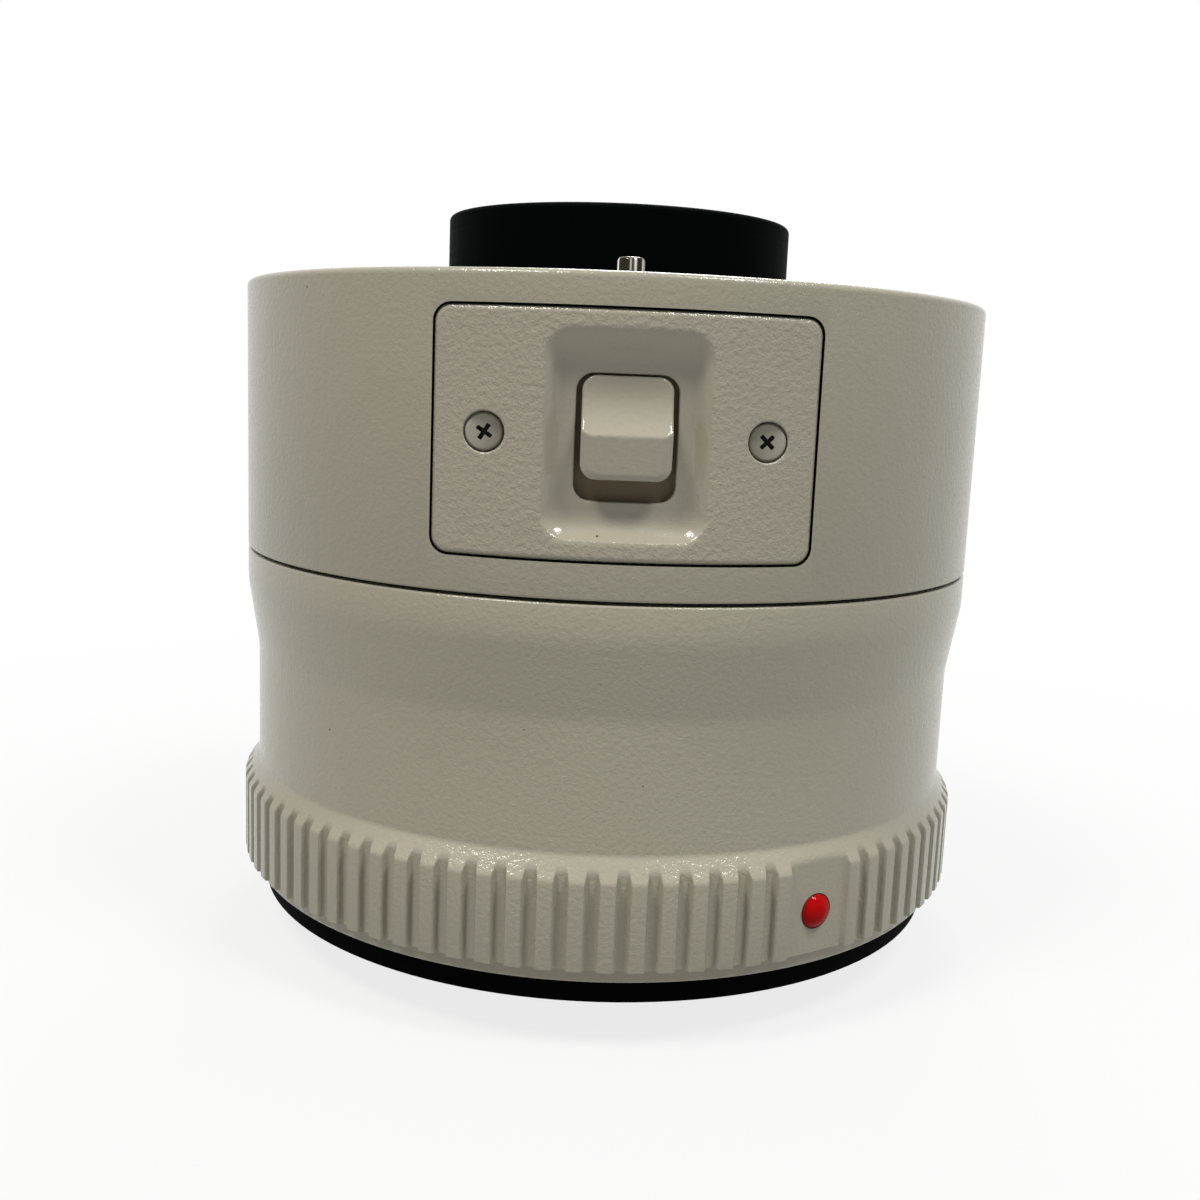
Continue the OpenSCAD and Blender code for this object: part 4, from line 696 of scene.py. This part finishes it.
def dish_row(t):
    """Add one row of the dish's wall, from t = 0 at the rim to t = 1 at the foot."""
    size = RIM + (FOOT - RIM) * t
    below = np.maximum(-rectangle_loop(*size)[3], 0)
    sloping = smooth_minimum(1, -smooth_minimum(0, -t, RIM_BLEND), FOOT_BLEND)
    up_arc = ARC_REACH * min(max(1 - t / DISH_END, 0), 1)
    hollow = 1 - (1 - math.sqrt(1 - up_arc ** 2)) / (1 - math.sqrt(1 - ARC_REACH ** 2))
    hollow = -smooth_minimum(0, -hollow - min(t, 0), RIM_BLEND)
    plate_row(*size, flat=sloping * (1 - below) + hollow * below)


plate_row(PLATE_W, PLATE_H, PLATE_CORNER, PLATE_BACK)
for angle in quarter_arc(EDGE_STEPS):
    inset = PLATE_EDGE * (1 - math.cos(angle))
    plate_row(PLATE_W - 2 * inset, PLATE_H - 2 * inset, PLATE_CORNER - inset,
              PLATE_EDGE * (1 - math.sin(angle)))
face_size = np.array([PLATE_W - 2 * PLATE_EDGE, PLATE_H - 2 * PLATE_EDGE, PLATE_CORNER - PLATE_EDGE])
for t in np.linspace(0, 1, FACE_STEPS + 1)[1:-1]:
    plate_row(*(face_size + (RIM + (FOOT - RIM) * DISH_START - face_size) * t))
for t in np.linspace(DISH_START, DISH_END, DISH_STEPS + 1):
    dish_row(t)
for angle in quarter_arc(SLOT_STEPS):
    inset = SLOT_EDGE * (1 - math.sin(angle))
    plate_row(SLOT_W + 2 * inset, SLOT_H + 2 * inset, SLOT_CORNER + inset, flat=1,
              level=DISH_Y - SLOT_EDGE * (1 - math.cos(angle)), drop=SLOT_DROP)
plate_row(SLOT_W, SLOT_H, SLOT_CORNER, flat=1, level=DISH_BACK_Y, drop=SLOT_DROP)
plate_row(BACK_W, BACK_H, BACK_CORNER, flat=1, level=DISH_BACK_Y)
plate_row(BACK_W, BACK_H, BACK_CORNER, PLATE_BACK)
lock_plate = roll_rows(plate_rows + plate_rows[:1])
print("lock plate rows:", len(plate_rows), "columns:", len(plate_rows[0][0]))

# %% [markdown]
# The plate's two screws sit in flat-bottomed holes. The holes run straight back along Y, so on the curved
# plate their inner side is deeper than their outer side, which shows as a dark crescent. The cutter is a
# sheet too: its upper rows follow the curved face and flare out, which leaves a rounded edge all the way
# round.

# %% Screw holes in the plate
SCREW_X, SCREW_SEAT_Y = 10.8, 32.77
HOLE_R, SHANK_HOLE_R, HOLE_EDGE, HOLE_STEPS, HOLE_BENDS = 1.58, 0.9, 0.14, 72, 4
HOLE_CORE, HOLE_BACK_Y, HOLE_LIFT, FACE_DEPTH = 0.01, 25, 2, 0.1
hole_rows = np.array(
    [(HOLE_CORE, HOLE_BACK_Y, 0), (SHANK_HOLE_R, HOLE_BACK_Y, 0), (SHANK_HOLE_R, SCREW_SEAT_Y, 0),
     (HOLE_R, SCREW_SEAT_Y, 0)]
    + [(HOLE_R + HOLE_EDGE * (1 - math.cos(a)), HOLE_EDGE * (math.sin(a) - 1), 1)
       for a in quarter_arc(HOLE_BENDS)]
    + [(HOLE_R + HOLE_EDGE, HOLE_LIFT, 1), (HOLE_CORE, HOLE_LIFT, 1)])


def turn_to_front(obj, x, z):
    """Lay a turned piece down, so that its axis runs out along -Y, and move it to its place."""
    obj.data.transform(Matrix.Translation(Vector((x, 0, z)) * MM) @ Matrix.Rotation(math.pi / 2, 4, "X"))


def hole_points(column, row):
    """Place the cutter's points. A row's level counts from the lens axis or from the plate's face."""
    radius, level, on_face = hole_rows[row].T
    angle = 2 * np.pi * (column % HOLE_STEPS) / HOLE_STEPS
    x, z = hole_x + radius * np.cos(angle), PLATE_Z + radius * np.sin(angle)
    return x, -(level + on_face * np.sqrt(FRONT_R ** 2 - x ** 2)), z


def close_ends(obj):
    """Fill the small openings that a rolled sheet leaves at its two ends."""
    start_fresh()
    bpy.context.view_layer.objects.active = obj
    bpy.ops.object.mode_set(mode="EDIT")
    bpy.ops.mesh.select_mode(type="EDGE")
    bpy.ops.mesh.select_all(action="DESELECT")
    bpy.ops.mesh.select_non_manifold()
    bpy.ops.mesh.fill_holes(sides=0)
    bpy.ops.mesh.select_all(action="SELECT")
    bpy.ops.mesh.normals_make_consistent(inside=False)
    bpy.ops.object.mode_set(mode="OBJECT")


for hole_x in (-SCREW_X, SCREW_X):
    hole = roll_sheet(HOLE_STEPS, len(hole_rows) - 1, hole_points)
    close_ends(hole)
    cut_away(lock_plate, hole)


def in_dish(spot):
    inside_rim = abs(spot.x) < RIM[0] / 2 and abs(spot.z - PLATE_Z) < RIM[1] / 2
    return inside_rim and math.hypot(spot.x, spot.y) < FRONT_R - FACE_DEPTH


two_finishes(lock_plate, plate_paint, smooth_paint, in_dish)
settle(lock_plate, "dished_lock_plate", plate_paint, "housing", "lock_plate", 40)

# %% [markdown]
# ## Plate screws
#
# Each screw is a small pan head with a cross recess, painted over with the rest of the lens. The head is
# turned, and the cross is cut by two crossing blocks. The faces inside the cut get a near-black second
# material, painted shade that makes the recess the only dark part. One screw is made and copied, and each is
# turned by its own angle, as screws stop where they are tight.

# %% Plate screws
HEAD_R, HEAD_TOP, HEAD_EDGE = 1.45, SCREW_SEAT_Y + 0.6, 0.2
SHANK_R, SHANK_END = 0.83, SCREW_SEAT_Y - 2.4
CROSS_REACH, CROSS_ARM, CROSS_DEPTH, CROSS_EDGE, CROSS_STEPS = 0.68, 0.34, 0.38, 0.12, 3
CUT_FROM, CUT_TO = 0.1, 0.5
LEFT_TURN, RIGHT_TURN = -33, 45
SMALL_STEPS = 64
screw_outline = round_corners([
    (0, HEAD_TOP, 0), (HEAD_R, HEAD_TOP, HEAD_EDGE), (HEAD_R, SCREW_SEAT_Y, 0), (SHANK_R, SCREW_SEAT_Y, 0),
    (SHANK_R, SHANK_END, 0), (0, SHANK_END, 0)])
left_screw = turn_on_lathe(screw_outline, SMALL_STEPS)
for quarter in (0, 90):
    arm = soft_block(2 * CROSS_REACH, CROSS_ARM, 2 * CROSS_DEPTH, (0, 0, HEAD_TOP), CROSS_EDGE, CROSS_STEPS)
    arm.data.transform(Matrix.Rotation(math.radians(quarter), 4, "Z"))
    cut_away(left_screw, arm)


def in_cross(spot):
    return math.hypot(spot.x, spot.y) < CROSS_REACH and CUT_FROM < HEAD_TOP - spot.z < CUT_TO


# The cross recess takes the near-black painted shade.
two_finishes(left_screw, screw_paint, recess_shade, in_cross)
start_fresh()
left_screw.select_set(True)
bpy.context.view_layer.objects.active = left_screw
bpy.ops.object.duplicate()
right_screw = bpy.context.object
for screw, x, turned_by in ((left_screw, -SCREW_X, LEFT_TURN), (right_screw, SCREW_X, RIGHT_TURN)):
    screw.data.transform(Matrix.Rotation(math.radians(turned_by), 4, "Z"))
    turn_to_front(screw, x, PLATE_Z)
    screw.select_set(True)
bpy.context.view_layer.objects.active = left_screw
bpy.ops.object.join()
settle(left_screw, "cross_head_plate_screws", screw_paint, "housing", "plate_screws", 40)

# %% [markdown]
# ## Sliding knob
#
# The knob has a ridge for the thumb, a hollow ramp above it and a flat face below it. Its body is a block
# with rounded edges, and the ramp is cut into that body, so the ridge bends up where it meets the rounded
# sides. The front is a height over the outline: the rounded face and a power curve, joined by a smooth
# minimum. Rows run from the middle of the back, round a small edge, to the middle of the front.

# %% Sliding knob
knob_low, knob_high = (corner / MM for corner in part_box("lock_slider"))
KNOB_W, KNOB_H, KNOB_LOW = knob_high.x - knob_low.x, knob_high.z - knob_low.z, knob_low.z
RIDGE_Z, RIDGE_Y, TOP_Y, LOW_Y, BACK_Y = KNOB_LOW + 3.36, 35.65, 34.1, 35.32, 32.75
RAMP_POWER, RIDGE_BLEND = 2.7, 0.12
KNOB_CORNER, SMALL_EDGE, SIDE_EDGE, FOOT_EDGE = 1.15, 0.24, 0.85, 0.5
KNOB_MID, KNOB_CORE = KNOB_LOW + KNOB_H / 2, 0.02
SMALL_EDGE_STEPS, SIDE_EDGE_STEPS, FRONT_STEPS = 6, 8, 19
knob_x, knob_z, way_x, way_z = rectangle_loop(KNOB_W, KNOB_H, KNOB_CORNER)
body_edge = SIDE_EDGE * way_x ** 2 + FOOT_EDGE * way_z ** 2
knob_rows = []


def knob_front(z, inset):
    """How far the front stands out at a height and at an inset from the outline."""
    up = np.clip((z - RIDGE_Z) / (KNOB_LOW + KNOB_H - RIDGE_Z), -1, 1)
    ramp = TOP_Y + (RIDGE_Y - TOP_Y) * (1 - up) ** RAMP_POWER
    short = np.maximum(body_edge - inset, 0)
    rounding = body_edge - np.sqrt(body_edge ** 2 - short ** 2)
    face = RIDGE_Y + (RIDGE_Y - LOW_Y) * (z - RIDGE_Z) / (RIDGE_Z - KNOB_LOW) - rounding
    return smooth_minimum(ramp, face, RIDGE_BLEND)


def knob_row(inset, sink=0.0, shrink=1.0, level=None):
    """Add one row: inset from the outline, sunk below the front, drawn in to the middle, or at a level."""
    x = (knob_x - way_x * inset) * shrink
    z = (knob_z - way_z * inset) * shrink + KNOB_MID
    past_edge = KNOB_W if shrink < 1 else max(inset, SMALL_EDGE)
    y = np.full_like(x, level) if level else knob_front(z, past_edge) - sink
    knob_rows.append((x, -y, z))


knob_row(0, shrink=KNOB_CORE, level=BACK_Y)
knob_row(0, level=BACK_Y)
for angle in quarter_arc(SMALL_EDGE_STEPS):
    knob_row(SMALL_EDGE * (1 - math.cos(angle)), SMALL_EDGE * (1 - math.sin(angle)))
for inset in np.linspace(SMALL_EDGE, SIDE_EDGE, SIDE_EDGE_STEPS + 1)[1:]:
    knob_row(inset)
for shrink in np.linspace(1, KNOB_CORE, FRONT_STEPS + 1)[1:]:
    knob_row(SIDE_EDGE, shrink=shrink)
knob = roll_rows(knob_rows)
close_ends(knob)
settle(knob, "thumb_knob", smooth_paint, "lens_lock", "lock_slider", 45)

# %% [markdown]
# ## Lock pin
#
# The knob draws this pin down, out of a hole in the lens, so that the lens can turn. Its tip is rounded, and
# a collar rests on the carrier's arm. It is turned round the lens axis, then moved out to its place.

# %% Lock pin
pin_low, pin_high = (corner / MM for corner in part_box("lock_pin"))
PIN_R, PIN_TIP, PIN_END, COLLAR_EDGE, PIN_BEND_STEPS = 1.1, 0.32, 0.15, 0.1, 6
COLLAR_MARGIN = 0.1
COLLAR_R, PIN_Y = (pin_high.x - pin_low.x) / 2, (pin_low.y + pin_high.y) / 2
collar = [v.co.z / MM for v in cad["lock_pin"].data.vertices if abs(v.co.x) > (PIN_R + COLLAR_MARGIN) * MM]
COLLAR_LOW, COLLAR_TOP = min(collar), max(collar)
pin_outline = round_corners([
    (0, pin_high.z, 0), (PIN_R, pin_high.z, PIN_TIP), (PIN_R, COLLAR_TOP, 0),
    (COLLAR_R, COLLAR_TOP, COLLAR_EDGE), (COLLAR_R, COLLAR_LOW, COLLAR_EDGE), (PIN_R, COLLAR_LOW, 0),
    (PIN_R, pin_low.z, PIN_END), (0, pin_low.z, 0)], PIN_BEND_STEPS)
lock_pin = turn_on_lathe(pin_outline, SMALL_STEPS)
lock_pin.data.transform(Matrix.Translation((0, PIN_Y * MM, 0)))
settle(lock_pin, "rounded_lock_pin", steel_painted_reflections, "lens_lock", "lock_pin", 40)

# %% [markdown]
# ## Index dots
#
# Red enamel dots mark where the camera and the lens line up. Each is a dome in a drilled seat: the surface
# tension of the enamel pulls it into a lens shape, and painted shade darkens the ring round it at the seat.
# One is turned per seat, and laid on its face.

# %% Index dots
CAMERA_DOT_D, CAMERA_DOT_DOME, CAMERA_DOT_Z, PANEL_Y = 3.1, 0.8, 6.4, 35.3
LENS_DOT_D, LENS_DOT_DOME, LENS_DOT_X = 2.0, 0.25, 34.025
RING_W, RING_RISE, DOT_SEAT, CROWN_STEPS = 0.1, 0.01, 0.55, 8


def enamel_dot(diameter, dome):
    """A dome on z = 0 with a ring of painted shade round its foot and a short plug below it."""
    crown_r = diameter / 2 - RING_W
    ball = (crown_r ** 2 + dome ** 2) / (2 * dome)
    edge = math.asin(crown_r / ball)
    angles = [edge * k / CROWN_STEPS for k in range(CROWN_STEPS + 1)]
    crown = [(ball * math.sin(a), ball * math.cos(a) - ball + dome) for a in angles]
    plug = [(diameter / 2, RING_RISE), (diameter / 2, -DOT_SEAT), (0, -DOT_SEAT)]
    dot = turn_on_lathe(crown + plug, SMALL_STEPS)
    # The ring round the dome takes the near-black painted shade.
    two_finishes(dot, enamel, recess_shade, lambda spot: math.hypot(spot.x, spot.y) > crown_r)
    return dot


rear_dot = enamel_dot(CAMERA_DOT_D, CAMERA_DOT_DOME)
rear_dot.data.transform(Matrix.Rotation(math.radians(DOT_AZIMUTH), 4, "Z")
                        @ Matrix.Translation(Vector((0, -PANEL_Y, CAMERA_DOT_Z)) * MM)
                        @ Matrix.Rotation(math.pi / 2, 4, "X"))
settle(rear_dot, "camera_index_dot", enamel, "housing", "rear_index_dot", 50)
front_dot = enamel_dot(LENS_DOT_D, LENS_DOT_DOME)
front_dot.data.transform(Matrix.Translation(Vector((LENS_DOT_X, 0, RIM_Z)) * MM))
settle(front_dot, "lens_index_dot", enamel, "housing", "front_index_dot", 50)

# %% [markdown]
# ## Finishes of the other pieces
#
# The remaining CAD nodes have the right shape already: the mount rings, the contacts, the cells and the
# lenses. They keep their meshes and only get their finishes.

# %% Dress the CAD nodes
dress = {
    anodised: ["front_cell", "rear_cell", "front_retaining_ring", "rear_retaining_ring", "front_spacer",
               "middle_spacer", "rear_spacer", "front_baffle", "rear_baffle"],
    rubber: ["rear_seal"],
    black_plastic: ["front_contact_block", "rear_contact_block", "board_chips"],
    cast_frame: ["frame"],
    steel: ["front_mount_ring", "rear_mount_ring"],
    screw_steel: ["front_mount_screws", "rear_mount_screws", "slider_screws", "contact_block_screws",
                  "baffle_screws", "cell_screws"],
    spring_steel: ["bayonet_springs"],
    browned_and_shaded: ["slide_carrier"],
    gold: ["contact_pins", "rear_contacts"],
    circuit: ["circuit_board", "contact_board"],
    ribbon: ["flex_cable"],
    glass: ["lens_1_front", "lens_2", "lens_3", "lens_4", "lens_5", "lens_6", "lens_7_rear"],
}
for material, names in dress.items():
    for name in names:
        cad[name].data.materials.clear()
        cad[name].data.materials.append(material)
print("dressed CAD nodes:", sum(len(names) for names in dress.values()))

# %% [markdown]
# ## Springs
#
# A coil spring shortens when the knob is drawn down or a contact is pressed in. Each spring's mesh is copied
# from the CAD and its loose triangles are merged. Each line of the list also names the joint and its travel,
# which nothing here reads, so the copies keep their length.

# %% Springs
SPRINGS = (("lock_spring", "coiled_lock_spring", "lock_slide", 1.6),
           ("contact_springs", "coiled_contact_springs", "contact_press", 0.8))
for node, name, joint, travel in SPRINGS:
    spring = bpy.data.objects.new(name, cad[node].data.copy())
    bpy.context.collection.objects.link(spring)
    spring.data.materials.clear()
    weld(spring)
    settle(spring, name, spring_steel, "housing", node, 60)
    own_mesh(spring)

# %% [markdown]
# ## Stage and light
#
# The object stands on a pale floor under a faint world light. Rays from the camera, and those that metal and
# glass send out, see white there. Near the object the floor keeps part of its own shading, and so the
# object's shadow.

# %% White background
def white_for_camera(tree, shaded, output):
    """Mix a shader with plain white for rays that show the background.

    The node that is returned multiplies the share of white, by its second input.
    """
    path = add_node(tree, "LightPath")
    either = add_node(tree, "Math", operation="MAXIMUM")
    seen = add_node(tree, "Math", operation="MAXIMUM")
    part = add_node(tree, "Math", {1: 1.0}, operation="MULTIPLY")
    white = add_node(tree, "Emission" if output.type == "OUTPUT_MATERIAL" else "Background",
                     {"Color": (1, 1, 1, 1), "Strength": 1.0})
    mixed = add_node(tree, "MixShader")
    join(tree, path, "Is Camera Ray", either, 0)
    join(tree, path, "Is Glossy Ray", either, 1)
    join(tree, either, 0, seen, 0)
    join(tree, path, "Is Transmission Ray", seen, 1)
    join(tree, seen, 0, part, 0)
    join(tree, part, 0, mixed, 0)
    join(tree, shaded, 0, mixed, 1)
    join(tree, white, 0, mixed, 2)
    join(tree, mixed, 0, output, "Surface")
    return part


# %% Floor
FLOOR_SIZE, FLOOR_TONE, FLOOR_ROUGHNESS, FLOOR_SPECULAR = 3.0, (0.42, 0.42, 0.415, 1), 0.9, 0.1
SHADOW_FADE = {"From Min": 0.03, "From Max": 0.16, "To Min": 0.80, "To Max": 1.0}
start_fresh()
bpy.ops.mesh.primitive_plane_add(size=FLOOR_SIZE, location=(0, 0, cad_box[0][2]))
floor = bpy.context.object
floor.name = "floor"
floor_finish = bpy.data.materials.new("pale_floor")
floor_finish.use_nodes = True
floor_tree = floor_finish.node_tree
floor_shader = floor_tree.nodes["Principled BSDF"]
floor_shader.inputs["Base Color"].default_value = FLOOR_TONE
floor_shader.inputs["Roughness"].default_value = FLOOR_ROUGHNESS
floor_shader.inputs["Specular IOR Level"].default_value = FLOOR_SPECULAR
white_share = white_for_camera(floor_tree, floor_shader, floor_tree.nodes["Material Output"])
place = add_node(floor_tree, "TexCoord")
away = add_node(floor_tree, "VectorMath", operation="LENGTH")
fade = add_node(floor_tree, "MapRange", SHADOW_FADE)
join(floor_tree, place, "Object", away, 0)
join(floor_tree, away, "Value", fade, "Value")
join(floor_tree, fade, "Result", white_share, 1)
floor.data.materials.append(floor_finish)
print("floor height in mm:", round(cad_box[0][2] / MM, 2))

# %% World
WORLD_TINT, WORLD_STRENGTH = (1.0, 0.985, 0.96, 1), 0.30
world = bpy.data.worlds.new("studio")
bpy.context.scene.world = world
world.use_nodes = True
sky = world.node_tree.nodes["Background"]
sky.inputs["Color"].default_value = WORLD_TINT
sky.inputs["Strength"].default_value = WORLD_STRENGTH
white_for_camera(world.node_tree, sky, world.node_tree.nodes["World Output"])
print("world strength:", WORLD_STRENGTH)

# %% [markdown]
# Two soft lamps, high on the left and on the right, graze the paint and draw the two shadows beside the
# knob. A weaker one lights the back. A lamp is placed by its direction: degrees round from the front, and
# degrees up. Its size and its distance are in metres.

# %% Lamps
AIM, LAMP_REACH = Vector((0, 0, 0.035)), 0.85
for name, azimuth, height, size, watts, tint in (
        ("left_lamp", -52, 60, 0.22, 6.4, (1.0, 0.985, 0.95)),
        ("right_lamp", 52, 60, 0.22, 5.9, (0.97, 0.985, 1.0)),
        ("back_lamp", 172, 45, 0.35, 4.4, (1.0, 0.99, 0.97))):
    across, up = math.radians(azimuth), math.radians(height)
    ray = Vector((math.sin(across) * math.cos(up), -math.cos(across) * math.cos(up), math.sin(up)))
    facing = ray.to_track_quat("Z", "Y").to_euler()
    bpy.ops.object.light_add(type="AREA", location=AIM + LAMP_REACH * ray, rotation=facing)
    lamp = bpy.context.object
    lamp.name = name
    lamp.data.shape = "DISK"
    lamp.data.size = size
    lamp.data.energy = watts
    lamp.data.color = tint

# %% Close the scene
bpy.context.scene.view_settings.view_transform = "Standard"
bpy.context.view_layer.update()
